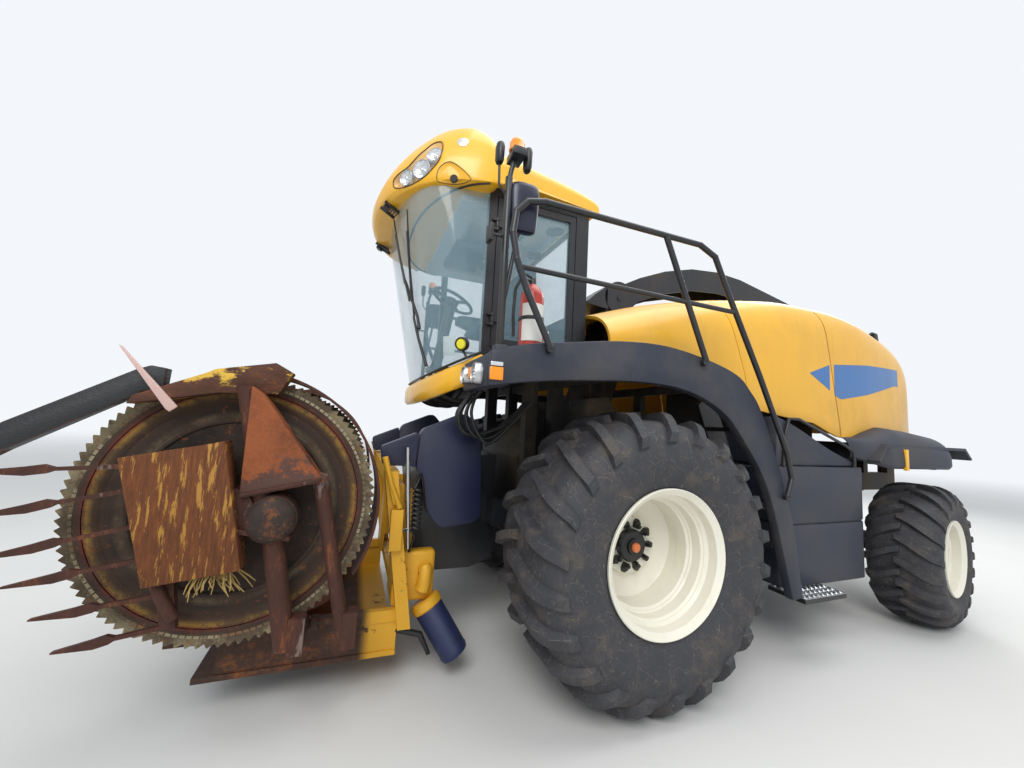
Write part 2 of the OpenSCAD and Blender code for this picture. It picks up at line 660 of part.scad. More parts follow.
// The rear seam is wider, because the door swings up past its slant
module door_zone(g) {
    outline = [
        [seam_a[3][0] - g, seam_a[3][1]], [seam_a[2][0] - g, seam_a[2][1]], [seam_a[1][0] - g, seam_a[1][1]],
        [seam_a[0][0] - g, 3300], [seam_b[0][0] + 2 * g, 3300], [seam_b[1][0] + 2 * g, seam_b[1][1]],
        [seam_b[2][0] + 2 * g, seam_b[2][1]], [seam_b[3][0] + 2 * g, seam_b[3][1]]
    ];
    for (s = [-1, 1]) side(s) slab(lid_y + g, 1400) polygon(outline);
}
module front_zone() slab(-1400, 1400) polygon([
    seam_a[3], seam_a[2], seam_a[1], [seam_a[0][0], 3300], [400, 3300], [400, seam_a[3][1]]
]);
module hood_front() color(yellow) intersection() {
    hood_shell();
    front_zone();
}
module hood_rear() color(yellow) {
    difference() {
        hood_shell();
        front_zone();
        door_zone(0);
    }
    // Hinge lugs and pins for the doors
    for (s = [-1, 1], x = lid_hinges) side(s) {
        for (dx = [-45, 25]) {
            x_rod(lid_pin[0], lid_pin[1], x + dx, x + dx + 20, 14);
            box([x + dx, lid_y - 40, lid_pin[1] - 40], [x + dx + 20, lid_y, lid_pin[1]]);
        }
        x_rod(lid_pin[0], lid_pin[1], x - 45, x + 45, lid_pin_r);
    }
}
lid_hinges = [-1620, -2080];
lid_pin = [lid_y + 3, hood_top - 15];
lid_pin_r = 6;
module hood_door(s) color(yellow) side(s) difference() {
    union() {
        intersection() {
            hood_shell();
            door_zone(seam);
            box([-5000, 0, 0], [1000, 1400, 4000]);
        }
        for (x = lid_hinges) {
            x_rod(lid_pin[0], lid_pin[1], x - 20, x + 20, 14);
            box([x - 20, lid_pin[0] + 3, lid_pin[1] - 60], [x + 20, lid_pin[0] + 40, lid_pin[1]]);
        }
    }
    for (x = lid_hinges) x_rod(lid_pin[0], lid_pin[1], x - 60, x + 60, lid_pin_r + run_fit);
}

module rear_fenders() color(dark) for (s = [-1, 1]) side(s) slab(fender_in, fender_out) polygon([
    [-2530, fender_low - 120], [-2640, fender_low + fender_t], [-4000, fender_low + fender_t],
    [-4120, fender_low - 80], [-4095, fender_low - 92], [-3985, fender_low], [-2665, fender_low],
    [-2552, fender_low - 136]
]);
fender_in = 610;
fender_out = 1375;
fender_t = 28;
module rear_bumper() color(dark) {
    box([rail_rear - 100, -900, 1400], [rail_rear - 20, 900, 1560]);
    for (s = [-1, 1]) side(s) box([rail_rear - 21, 480, rail_high], [rail_rear + 50, 540, 1500]);
}

// Spout

turret_z = 2690;
turret_r = 240;
turret_bore_r = 190;
module spout_turret() color(dark) translate([-spout_back, 0, turret_z]) difference() {
    cylinder(h = 80, r = turret_r, $fn = 96);
    translate([0, 0, -1]) cylinder(h = 100, r = turret_bore_r, $fn = 96);
}
module spout_base() color(dark) {
    translate([-spout_back, 0, turret_z + 85]) cylinder(h = 60, r = turret_r - 10, $fn = 96);
    translate([-spout_back, 0, turret_z + 6]) cylinder(h = 84, r = turret_bore_r - 0.1, $fn = 96);
    box([-spout_back - spout_head_r, -duct_half, turret_z + 144],
        [-spout_back + spout_head_r, duct_half, spout_hinge_z]);
    y_rod(-spout_back, spout_hinge_z, -duct_half, duct_half, spout_head_r);
    y_rod(-spout_back, spout_hinge_z, -duct_half - 30, duct_half + 30, spout_pin_r);
    // Guard ahead of the hinge
    slab(-boom_half, boom_half) polygon(concat(
        arc(-spout_back, spout_hinge_z, spout_cheek_r + 6, -40, 28, 6),
        moved([[175, 88], [200, 65], [280, 5], [370, -80], [370, -110], [220, -130], [138, -135]],
            -spout_back, spout_hinge_z)));
}
spout_pin_r = 30;
spout_head_r = 150;
// Radius of the boom's cheeks around the hinge
spout_cheek_r = 172;
boom_top = [[-866, 3274], [-1200, 3410], [-1579, 3510], [-1950, 3545], [-2324, 3523], [-3087, 3379],
    [-4000, 3170], [-rear_reach + 250, 2950]];
boom_depth = 250;
boom_half = 172;
module spout_boom() color(dark) difference() {
    shell = concat(arc(-spout_back, spout_hinge_z, spout_cheek_r, 30, 110, 8), boom_top);
    under = [for (i = [len(boom_top) - 1:-1:0]) [boom_top[i][0], boom_top[i][1] - boom_depth]];
    low = arc(-spout_back, spout_hinge_z, spout_cheek_r, 250, 330, 6);
    slab(-boom_half, boom_half) polygon(concat(shell, under, low));
    // Inside, open below
    slab(-boom_half + 12, boom_half - 12) polygon(concat(
        moved([[400, -400], [400, 0]], -spout_back, spout_hinge_z),
        arc(-spout_back, spout_hinge_z, spout_cheek_r - 12, 0, 110, 8), moved(boom_top, 0, -10),
        [[-rear_reach + 150, 2830], [-rear_reach + 150, 2300], [-2000, 2300]]));
    y_rod(-spout_back, spout_hinge_z, -400, 400, spout_pin_r + run_fit);
    y_rod(flap_pin[0], flap_pin[1], -400, 400, flap_pin_r + run_fit);
}
flap_pin = [-rear_reach + 240, 2910];
flap_pin_r = 10;
module spout_flap() color(dark) {
    y0 = boom_half - 12 - 6;
    difference() {
        slab(-y0, y0) polygon(moved([[0, 24], [-110, 5], [-240, -120], [-240, -220], [-120, -120],
            [-20, -70], [20, -18]], flap_pin[0], flap_pin[1]));
        slab(-y0 + 10, y0 - 10) polygon(moved([[110, 14], [-2, 14], [-105, -5], [-230, -130],
            [-250, -280], [110, -280]], flap_pin[0], flap_pin[1]));
    }
    y_rod(flap_pin[0], flap_pin[1], -boom_half - 6, boom_half + 6, flap_pin_r);
}

// Header

lift_pin = [420, 1000];
module feed_housing() color(dark) {
    slab(-430, 430) polygon([[720, 620], [720, 1420], [1280, 1380], [feed_front, 1200],
        [feed_front, 560], [900, 560]]);
    // Arms back to the lift hinge
    for (s = [-1, 1]) side(s) difference() {
        slab(560, 600) polygon(concat([[780, 900], [780, 1100]],
            arc(lift_pin[0], lift_pin[1], 70, 60, 300, 12)));
        y_rod(lift_pin[0], lift_pin[1], 500, 700, lift_r + run_fit);
    }
    box([740, -600, 900], [780, 600, 1100]);
}
lift_r = 35;
module feed_covers() color(dark) for (s = [-1, 1]) side(s) slab(600, 700) polygon([
    [1620, 1480], [1390, 1590], [1060, 1735], [940, 1600], [910, 1000], [960, 960],
    [1200, 930], [1300, 1060], [1330, 1270], [1420, 1350], [1600, 1350]
]);
module header_frame() color(yellow) {
    // Leaning posts and the beams between them
    for (s = [-1, 1]) side(s) {
        slab(740, 840) polygon([[1520, 1330], [1600, 1330], [1450, 360], [1370, 360]]);
        // Longitudinal tube with the lugs of the fold hinge
        box([1400, fold_y - 95, 400], [2640, fold_y - 50, 470]);
        for (x = hinge_lugs) {
            x_rod(fold_y, fold_z, x, x + 35, 42);
            box([x, fold_y - 60, 420], [x + 35, fold_y, 470]);
        }
        x_rod(fold_y, fold_z, hinge_lugs[0], hinge_lugs[3] + 35, fold_pin_r);
    }
    box([1500, -741, 1230], [1580, 741, 1320]);
    box([1395, -741, 400], [1455, 741, 470]);
    // Plate behind the drums, with the feed opening
    for (s = [-1, 1]) side(s) box([1460, 430, 469], [1490, 741, 1231]);
    // Floor under the centre drums
    box([1450, -800, 200], [2500, 800, 230]);
    for (s = [-1, 1]) side(s) box([1450, 770, 229], [2400, 790, 401]);
    for (s = [-1, 1]) side(s) translate([mid_x, mid_y, 229]) cylinder(h = 150, r = mid_pin_r, $fn = 64);
    // Ties to the feed housing
    for (s = [-1, 1]) side(s) box([feed_front, 380, 620], [1461, 431, 1150]);
}
mid_pin_r = 40;
feed_front = 1340;
hinge_lugs = [1660, 1790, 1905, 2060];
mid_x = 2120;
mid_y = 365;
// Saw-toothed outline
function teeth(r, deep, count) = [for (i = [0:count - 1], q = [[0, 0], [0.75, deep]])
    let (a = (i + q[0]) * 360 / count) (r - q[1]) * [cos(a), sin(a)]];
module mid_drum() translate([mid_x, mid_y, 0]) difference() {
    union() {
        translate([0, 0, 280]) linear_extrude(height = 12) polygon(teeth(mid_disc_r, 18, 54));
        translate([0, 0, 291]) cylinder(h = 149, r = mid_disc_r - 60, $fn = 96);
    }
    translate([0, 0, 200]) cylinder(h = 200, r = mid_pin_r + run_fit, $fn = 64);
}
module header_drive() color(yellow) {
    // Gearbox and elbow on the left, with the guard round its shaft
    box([1220, 640, 480], [1440, 740, 800]);
    color(dark) rod([1290, 690, 500], [1060, 800, 150], 95);
}

// One wing, folded up: its disc looks outward
wing_in = 520;
wing_disc_y = 1000;
disc_t = 14;
wing_bore_r = 45;
module wing_frame() {
    color(rust) {
        // Struts from the hinge up past the bell and on to the beam
        rod([2040, 1108, 480], [2150, 1108, 1060], 50);
        rod([2205, 1111, 1190], [2335, 1111, 1790], 44);
        rod([1762, 1110, 490], [1952, 1110, 1330], 37);
        y_rod(2152, 1131, 1040, 1175, 116);
        slab(1050, 1170) polygon([
            [2300, 1791], [2244, 1752], [1955, 1352], [1913, 1344], [1922, 1318], [2290, 1240], [2300, 1275]
        ]);
        // Hub with the pin that carries the drum
        y_rod(wing_disc_x, wing_disc_z, wing_disc_y + 25, 1152, 120);
        y_rod(wing_disc_x, wing_disc_z, 760, wing_disc_y + 26, wing_bore_r);
        // Skid plate, comb bar and the pointed fingers
        slab(1080, 1200) polygon([[2771, 1424], [2501, 1481], [2380, 1512], [2253, 906], [2625, 859]]);
        slab(1090, 1130) polygon([
            [2740, 1420], [2605, 880], [2560, 640], [2500, 640], [2550, 1000], [2660, 1400]
        ]);
        for (p = fingers) finger(p);
    }
    // Arms out from the fold hinge
    for (x = [1700, 1950]) {
        color(rust) difference() {
            union() {
                x_rod(fold_y, fold_z, x + 5, x + 80, 45);
                box([x + 5, fold_y, fold_z - 20], [x + 80, 1150, fold_z + 45]);
                box([x + 5, 1060, fold_z + 40], [x + 80, 1150, fold_z + 160]);
            }
            x_rod(fold_y, fold_z, x - 100, x + 200, fold_pin_r + run_fit);
        }
    }
    // Beam across the top and the outer divider that drops forward
    color(yellow) slab(1020, 1120) polygon([
        [2805, 1670], [2786, 1711], [2513, 1840], [2473, 1864], [2215, 1922], [2132, 1877],
        [2190, 1760], [2449, 1750]
    ]);
    color(dark) slab(1030, 1100) polygon([
        [2740, 1858], [2680, 1850], [2685, 1730], [2753, 1735], [3203, 1443], [front_reach, 1150],
        [front_reach, 1165], [3450, 1375], [3218, 1563], [2788, 1837]
    ]);
    // Curved wall behind the drum
    color(dark) difference() {
        y_rod(wing_disc_x, wing_disc_z, 640, 1040, wing_disc_r + 30);
        y_rod(wing_disc_x, wing_disc_z, 600, 1100, wing_disc_r + 15);
        slab(600, 1100) polygon([[wing_disc_x, wing_disc_z], [2300, 3000], [4000, 3000], [4000, 0], [1500, 0],
            [1500, 640]]);
    }
}
fingers = [
    // x and z of the root, x and z of the tip
    [2766, 1381, 3290, 1350], [2741, 1272, 3265, 1165], [2691, 1112, 3230, 992],
    [2649, 960, 3128, 873], [2580, 791, 3021, 733], [2530, 650, 2933, 588]
];
// Share of the finger's length and height over its middle line
finger_outline = [[-0.05, 10], [0.48, 8], [0.55, 22], [0.68, 14], [1, 3], [1, -3], [0.66, -24],
    [0.53, -18], [0.48, -8], [-0.05, -10]];
module finger(p) {
    along = [p[2] - p[0], p[3] - p[1]];
    up = [-along[1], along[0]] / norm(along);
    slab(1098, 1122) polygon([for (q = finger_outline) [p[0], p[1]] + q[0] * along + q[1] * up]);
}
module wing_drum() translate([wing_disc_x, 0, wing_disc_z]) difference() {
    union() {
        slab(wing_disc_y - disc_t, wing_disc_y) polygon(teeth(wing_disc_r, 22, 96));
        y_rod(0, 0, 560, wing_disc_y - disc_t + 1, 420);
        y_rod(0, 0, wing_in, 561, 300);
    }
    y_rod(0, 0, 700, 1100, wing_bore_r + run_fit);
}

place() main_frame();
place() frame_posts();
place() front_axle();
place() rear_axle();
place() engine_block();
place() chopper_housing();
place() side_tanks();
place() color(dark) platform();  // platform_left
place() color(dark) side(-1) platform();  // platform_right
place() ladder();
place() color(dark) handrail();  // handrail_left
place() color(dark) side(-1) handrail();  // handrail_right
place() cab_frame();
place() cab_roof();
place() headliner();
place() roof_lamps();
place() windscreen();
place() cab_glass();
place() seat();
place() steering_column();
place() cab_nose();
place() corner_lamps();
place() mirror_post();  // mirror_left
place() side(-1) mirror_post();  // mirror_right
place() extinguisher();
place() hood_front();
place() hood_rear();
place() rear_fenders();
place() rear_bumper();
place() door_frame();
place() door_glass();
place() hood_door(1);  // hood_door_left
place() hood_door(-1);  // hood_door_right
place() color(dark) at_knuckle(1) knuckle();  // knuckle_left
place() color(dark) at_knuckle(-1) knuckle();  // knuckle_right
place() color(tyre_black) at_front_wheel(1) front_tyre();  // front_tyre_left
place() color(tyre_black) at_front_wheel(-1) front_tyre();  // front_tyre_right
place() color(cream) at_front_wheel(1) front_rim();  // front_rim_left
place() color(cream) at_front_wheel(-1) front_rim();  // front_rim_right
place() color(tyre_black) at_rear_wheel(1) rear_tyre();  // rear_tyre_left
place() color(tyre_black) at_rear_wheel(-1) rear_tyre();  // rear_tyre_right
place() color(cream) at_rear_wheel(1) rear_rim();  // rear_rim_left
place() color(cream) at_rear_wheel(-1) rear_rim();  // rear_rim_right
place() spout_turret();
place() spout_base();
place() spout_boom();
place() spout_flap();
place() feed_housing();
place() feed_covers();
place() header_frame();
place() header_drive();
place() color(rust) mid_drum();  // mid_drum_left
place() color(rust) side(-1) mid_drum();  // mid_drum_right
place() wing_frame();  // wing_frame_left
place() side(-1) wing_frame();  // wing_frame_right
place() color(rust) wing_drum();  // wing_drum_left
place() color(rust) side(-1) wing_drum();  // wing_drum_right
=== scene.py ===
"""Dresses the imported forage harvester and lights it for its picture."""
import math

import bmesh
import bpy
import numpy as np
from bpy.props import FloatProperty, FloatVectorProperty, IntProperty, PointerProperty
from mathutils import Matrix, Vector


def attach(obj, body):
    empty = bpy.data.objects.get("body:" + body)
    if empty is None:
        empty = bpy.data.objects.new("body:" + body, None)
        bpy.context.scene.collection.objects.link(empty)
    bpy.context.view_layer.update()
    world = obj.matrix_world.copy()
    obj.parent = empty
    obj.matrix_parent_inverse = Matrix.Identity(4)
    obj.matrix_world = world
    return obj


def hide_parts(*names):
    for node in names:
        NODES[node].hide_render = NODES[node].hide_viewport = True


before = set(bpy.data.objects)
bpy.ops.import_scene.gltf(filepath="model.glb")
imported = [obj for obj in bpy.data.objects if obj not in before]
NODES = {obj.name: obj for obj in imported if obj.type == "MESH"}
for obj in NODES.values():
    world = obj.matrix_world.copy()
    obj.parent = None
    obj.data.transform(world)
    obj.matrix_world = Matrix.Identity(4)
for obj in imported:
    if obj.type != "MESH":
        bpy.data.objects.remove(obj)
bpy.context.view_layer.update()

bl_info = {
    "name": "Forage harvester",
    "version": (1, 0, 0),
    "blender": (4, 5, 0),
    "location": "View3D > Sidebar > Harvester",
    "description": "Builds the harvester's panels, tyres, header and finishes over its frame",
    "category": "Object",
}

# Sizes of the machine in millimetres, with x = 0 at the front axle
SHIFT = 825.0
WHEELBASE = 3380.0
PARK_STEER = math.radians(10)
KINGPIN_Y = 900.0
PILLAR_X = 970.0
CEILING = 3380.0
DECK_Z = 2060.0
CAB_FLOOR = 2150.0
# Middle of the folded wings' toothed discs
DISC_X, DISC_Z = 2355, 1165


# Colours

def colour(code):
    """Linear colour from a six-digit code"""
    parts = [int(code[i:i + 2], 16) / 255 for i in (0, 2, 4)]
    return tuple(c / 12.92 if c <= 0.04045 else ((c + 0.055) / 1.055) ** 2.4 for c in parts)


class PaintColours(bpy.types.PropertyGroup):
    """Colours of the machine's main finishes"""
    yellow: FloatVectorProperty(name="Yellow", description="Paint of the hood and the roof", subtype="COLOR",
                                size=3, min=0, max=1, default=colour("E9AE26"))
    dark: FloatVectorProperty(name="Dark plastic", description="Platforms, tanks and covers", subtype="COLOR",
                              size=3, min=0, max=1, default=colour("232836"))
    cream: FloatVectorProperty(name="Cream", description="Paint of the rims", subtype="COLOR",
                               size=3, min=0, max=1, default=colour("E6E2D2"))
    rubber: FloatVectorProperty(name="Rubber", description="Worn rubber of the tyres", subtype="COLOR",
                                size=3, min=0, max=1, default=colour("37373B"))
    rust: FloatVectorProperty(name="Rust", description="Rusty steel of the header", subtype="COLOR",
                              size=3, min=0, max=1, default=colour("6E3B22"))
    glass: FloatVectorProperty(name="Glass", description="Tint of the cab's glass", subtype="COLOR",
                               size=3, min=0, max=1, default=colour("A9CDDA"))


class MachineSizes(bpy.types.PropertyGroup):
    """Sizes that the looks add to the frame"""
    front_lugs: IntProperty(name="Front lugs", description="Lugs on each side of a front tyre", default=22, min=16,
                            max=30)
    rear_lugs: IntProperty(name="Rear lugs", description="Lugs on each side of a rear tyre", default=20, min=16, max=30)
    lug_height: FloatProperty(name="Lug height", description="Height of the tyres' lugs", default=0.052, min=0.02,
                              max=0.08, unit="LENGTH")
    disc_teeth: IntProperty(name="Disc teeth", description="Saw teeth on a wing's disc", default=96, min=60, max=160)
    panel_wall: FloatProperty(name="Panel wall", description="Thickness of the hood's panels", default=0.024,
                              min=0.01, max=0.03, unit="LENGTH")
    panel_edge: FloatProperty(name="Panel edge", description="Rounding along moulded edges", default=0.012, min=0.002,
                              max=0.03, unit="LENGTH")


# Shader maths

class Value:
    """A node's output that takes part in sums and products"""

    def __init__(self, finish, socket):
        self.finish, self.socket = finish, socket

    def math(self, operation, *values):
        return self.finish.add("ShaderNodeMath", {"operation": operation}, list(values))

    def __add__(self, other):
        return self.math("ADD", self, other)

    def __sub__(self, other):
        return self.math("SUBTRACT", self, other)

    def __mul__(self, other):
        return self.math("MULTIPLY", self, other)

    def __truediv__(self, other):
        return self.math("DIVIDE", self, other)

    def __pow__(self, other):
        return self.math("POWER", self, other)

    def __radd__(self, other):
        return self.math("ADD", other, self)

    def __rsub__(self, other):
        return self.math("SUBTRACT", other, self)

    def __rmul__(self, other):
        return self.math("MULTIPLY", other, self)

    def part(self, low, high):
        """0 below low, 1 above high, smooth between"""
        return self.finish.add("ShaderNodeMapRange", {"interpolation_type": "SMOOTHSTEP"},
                               {"Value": self, "From Min": low, "From Max": high})


class Finish:
    """A material in the making"""

    def __init__(self, name):
        self.material = bpy.data.materials.new(name)
        self.material.use_nodes = True
        self.tree = self.material.node_tree
        self.tree.nodes.clear()
        self.place = self.add("ShaderNodeTexCoord", output="Object")

    def add(self, kind, settings=None, inputs=None, output=0):
        node = self.tree.nodes.new(kind)
        for key, value in (settings or {}).items():
            if key == "stops":
                ramp = node.color_ramp.elements
                while len(ramp) < len(value):
                    ramp.new(0.5)
                for element, (at_place, tone) in zip(ramp, value):
                    element.position = at_place
                    element.color = (*tone, 1) if len(tone) == 3 else tone
            else:
                setattr(node, key, value)
        pairs = inputs.items() if isinstance(inputs, dict) else enumerate(inputs or [])
        for key, value in pairs:
            if isinstance(value, Value):
                self.tree.links.new(value.socket, node.inputs[key])
            elif value is not None:
                node.inputs[key].default_value = value
        return Value(self, node.outputs[output])

    def moved(self, centre=(0, 0, 0), turn=(0, 0, 0), scale=(1, 1, 1)):
        """Object coordinates seen from a centre, turned and scaled"""
        at_centre = self.add("ShaderNodeVectorMath", {"operation": "SUBTRACT"}, [self.place, centre])
        return self.add("ShaderNodeMapping", None, {"Vector": at_centre, "Rotation": turn, "Scale": scale})

    def noise(self, scale, detail=4.0, where=None, rough=0.6):
        return self.add("ShaderNodeTexNoise", None, {
            "Vector": where or self.place, "Scale": scale, "Detail": detail, "Roughness": rough})

    def axis(self, letter, where=None):
        return self.add("ShaderNodeSeparateXYZ", None, [where or self.place], output=letter)

    def mix(self, share, a, b):
        """Colour a where share is 0, and b where it is 1"""
        a, b = [(*c, 1) if isinstance(c, (tuple, list)) and len(c) == 3 else c for c in (a, b)]
        return self.add("ShaderNodeMix", {"data_type": "RGBA"}, {0: share, 6: a, 7: b}, output=2)

    def done(self, base, rough=0.5, bump=None, bump_depth=0.002, **more):
        shader = self.tree.nodes.new("ShaderNodeBsdfPrincipled")
        out = self.tree.nodes.new("ShaderNodeOutputMaterial")
        self.tree.links.new(shader.outputs[0], out.inputs[0])
        if bump is not None:
            more["Normal"] = self.add("ShaderNodeBump", None, {"Height": bump, "Distance": bump_depth,
                                                               "Strength": 1.0})
        for key, value in {"Base Color": base, "Roughness": rough, **more}.items():
            if isinstance(value, Value):
                self.tree.links.new(value.socket, shader.inputs[key])
            elif isinstance(value, (tuple, list)) and len(value) == 3:
                shader.inputs[key].default_value = (*value, 1)
            else:
                shader.inputs[key].default_value = value
        return self.material


def shade(tone, factor):
    return tuple(min(1.0, c * factor) for c in tone)


def paint(name, tone, dust=0.35, rough=0.32, coat=0.25, low=None):
    """Machine paint: gloss under uneven dust, scratches and a dirtier lower edge"""
    f = Finish(name)
    patches = f.noise(1.7, 5.0).part(0.42, 0.72)
    grain = f.noise(38.0, 3.0)
    streaks = f.noise(3.0, 4.0, f.moved(scale=(5.0, 5.0, 0.5))).part(0.5, 0.78)
    scratch = f.noise(9.0, 6.0, f.moved(turn=(0.3, 0.5, 0.2), scale=(0.6, 0.6, 9.0)), 0.75).part(0.66, 0.71)
    dirt = patches * 0.5 + streaks * 0.35
    if low:
        dirt = dirt + (1 - f.axis("Z").part(low[0], low[1])) * 0.55 * (0.4 + patches)
    faded = f.mix(f.noise(0.8, 2.0).part(0.35, 0.7), tone, shade(tone, 1.07))
    dusty = f.mix(dirt * dust, faded, colour("A08A66"))
    worn = f.mix(scratch * 0.28, dusty, shade(tone, 0.42))
    return f.done(worn, (dirt * 0.35 + rough) + grain * 0.06, bump=grain + scratch * 0.8, bump_depth=0.0006,
                  **{"Coat Weight": coat, "Coat Roughness": 0.12})


def plastic(name, tone, rough=0.5, dust=0.3, speckle=260.0):
    """Moulded plastic: fine grain, dust and pale scuffs"""
    f = Finish(name)
    dusted = f.noise(2.3, 5.0).part(0.4, 0.75)
    fine = f.noise(speckle, 2.0)
    scuffs = f.noise(7.0, 8.0, f.moved(turn=(0.2, 0.4, 0.9), scale=(1, 5, 2)), 0.8).part(0.6, 0.74)
    toned = f.mix(f.noise(0.9, 2.0), shade(tone, 0.82), shade(tone, 1.2))
    dusty = f.mix(dusted * dust, toned, colour("6F685C"))
    return f.done(f.mix(scuffs * 0.22, dusty, shade(tone, 2.6)), dusted * 0.2 + rough, bump=fine + scuffs * 0.5,
                  bump_depth=0.0005)


def rusty(name, tone, paint_left=None, share=0.55, along=(1, 1, 1), until=None):
    """Steel with rust of several ages, and what is left of its paint, if asked only behind a place along X"""
    f = Finish(name)
    where = f.moved(scale=along)
    cloud = f.noise(5.5, 7.0, where, 0.68)
    fine = f.noise(46.0, 6.0, where, 0.72)
    pits = f.noise(120.0, 3.0)
    iron = f.add("ShaderNodeValToRGB", {"stops": [
        (0.2, shade(tone, 0.22)), (0.42, shade(tone, 0.62)), (0.55, tone), (0.7, colour("8F5226")),
        (0.86, colour("B98A4C"))]}, [cloud * 0.62 + fine * 0.4])
    base, rough = iron, 0.62 + fine * 0.25
    if paint_left:
        kept = (f.noise(3.2, 8.0, where, 0.7) + fine * 0.12).part(share, share + 0.05)
        if until:
            kept = kept * (1 - f.axis("X").part(until, until + 0.08))
        base, rough = f.mix(kept, iron, paint_left), rough - kept * 0.25
    return f.done(base, rough, bump=pits * 0.5 + fine, bump_depth=0.0025, Metallic=0.15)


def ringed(name, centre, stops):
    """Rusty disc with rings of other tones round its axle. Stops hold radius in metres and tone"""
    f = Finish(name)
    where = f.moved(centre)
    out = f.add("ShaderNodeVectorMath", {"operation": "LENGTH"},
                [f.add("ShaderNodeCombineXYZ", None, [f.axis("X", where), 0.0, f.axis("Z", where)])], output="Value")
    cloud, fine = f.noise(5.0, 8.0, where, 0.7), f.noise(60.0, 5.0, where)
    tones = f.add("ShaderNodeValToRGB", {"stops": [(r / 0.75, tone) for r, tone in stops]},
                  [(out + (fine - 0.5) * 0.012) / 0.75])
    caked = f.mix((cloud + fine * 0.2).part(0.52, 0.66) * 0.75, tones, colour("3B2A20"))
    rust = f.mix(f.noise(14.0, 6.0, where, 0.75).part(0.58, 0.66) * 0.6, caked, colour("8A4E24"))
    return f.done(rust, 0.72 + fine * 0.2, bump=fine + cloud, bump_depth=0.003, Metallic=0.1)


def tyre_rubber(name, tone, centre, turn):
    """Worn rubber round an axle: dusty lugs, scuffed rings on the side, dried mud"""
    f = Finish(name)
    where = f.moved(centre, turn)
    out = f.add("ShaderNodeVectorMath", {"operation": "LENGTH"},
                [f.add("ShaderNodeCombineXYZ", None, [f.axis("X", where), 0.0, f.axis("Z", where)])], output="Value")
    cloud = f.noise(6.0, 7.0, where, 0.7)
    fine = f.noise(75.0, 5.0, where)
    cracks = f.add("ShaderNodeTexVoronoi", {"feature": "DISTANCE_TO_EDGE"}, {
        "Vector": f.add("ShaderNodeVectorMath", {"operation": "MULTIPLY_ADD"},
                        [where, (1, 1, 1), f.noise(5.0, 3.0, where)]), "Scale": 6.0}).part(0.0, 0.016)
    rings = f.add("ShaderNodeMath", {"operation": "SINE"}, [out * 320.0]).part(0.4, 1.0)
    mud = cloud.part(0.5, 0.68)
    worn = f.mix(cloud, shade(tone, 0.55), shade(tone, 1.45))
    muddy = f.mix(mud * 0.42, worn, colour("6B5E4E"))
    webbed = f.mix((1 - cracks) * 0.35, muddy, colour("8B8272"))
    return f.done(webbed, 0.68 + mud * 0.2, bump=cloud + fine * 0.35 - rings * 0.12, bump_depth=0.003)


def see_through(name, tone, alpha, rough=0.06):
    """Tinted glass with a faint haze of dust"""
    f = Finish(name)
    haze = f.noise(2.2, 6.0).part(0.45, 0.85)
    smear = f.noise(5.0, 5.0, f.moved(turn=(0, 0.5, 0), scale=(1, 1, 6))).part(0.55, 0.8)
    return f.done(f.mix(haze, tone, shade(tone, 1.15)), haze * 0.12 + rough,
                  Alpha=haze * 0.1 + smear * 0.06 + alpha, **{"Specular IOR Level": 0.75})


def metal(name, tone, rough=0.35, brushed=(1, 1, 60)):
    """Bare metal with brushing and dull patches"""
    f = Finish(name)
    lines = f.noise(12.0, 4.0, f.moved(scale=brushed))
    dull = f.noise(7.0, 5.0).part(0.4, 0.7)
    return f.done(f.mix(dull * 0.5, tone, shade(tone, 0.6)), rough + dull * 0.25, bump=lines, bump_depth=0.0004,
                  Metallic=1.0)


def woven(name, tone):
    """Seat cloth with a fine weave"""
    f = Finish(name)
    across = f.add("ShaderNodeTexWave", {"bands_direction": "Y"}, {"Vector": f.place, "Scale": 130.0})
    along = f.add("ShaderNodeTexWave", {"bands_direction": "Z"}, {"Vector": f.place, "Scale": 130.0})
    weave = across * along
    return f.done(f.mix(weave, shade(tone, 0.5), shade(tone, 1.3)), 0.9, bump=weave, bump_depth=0.001)


FINISHES = {}


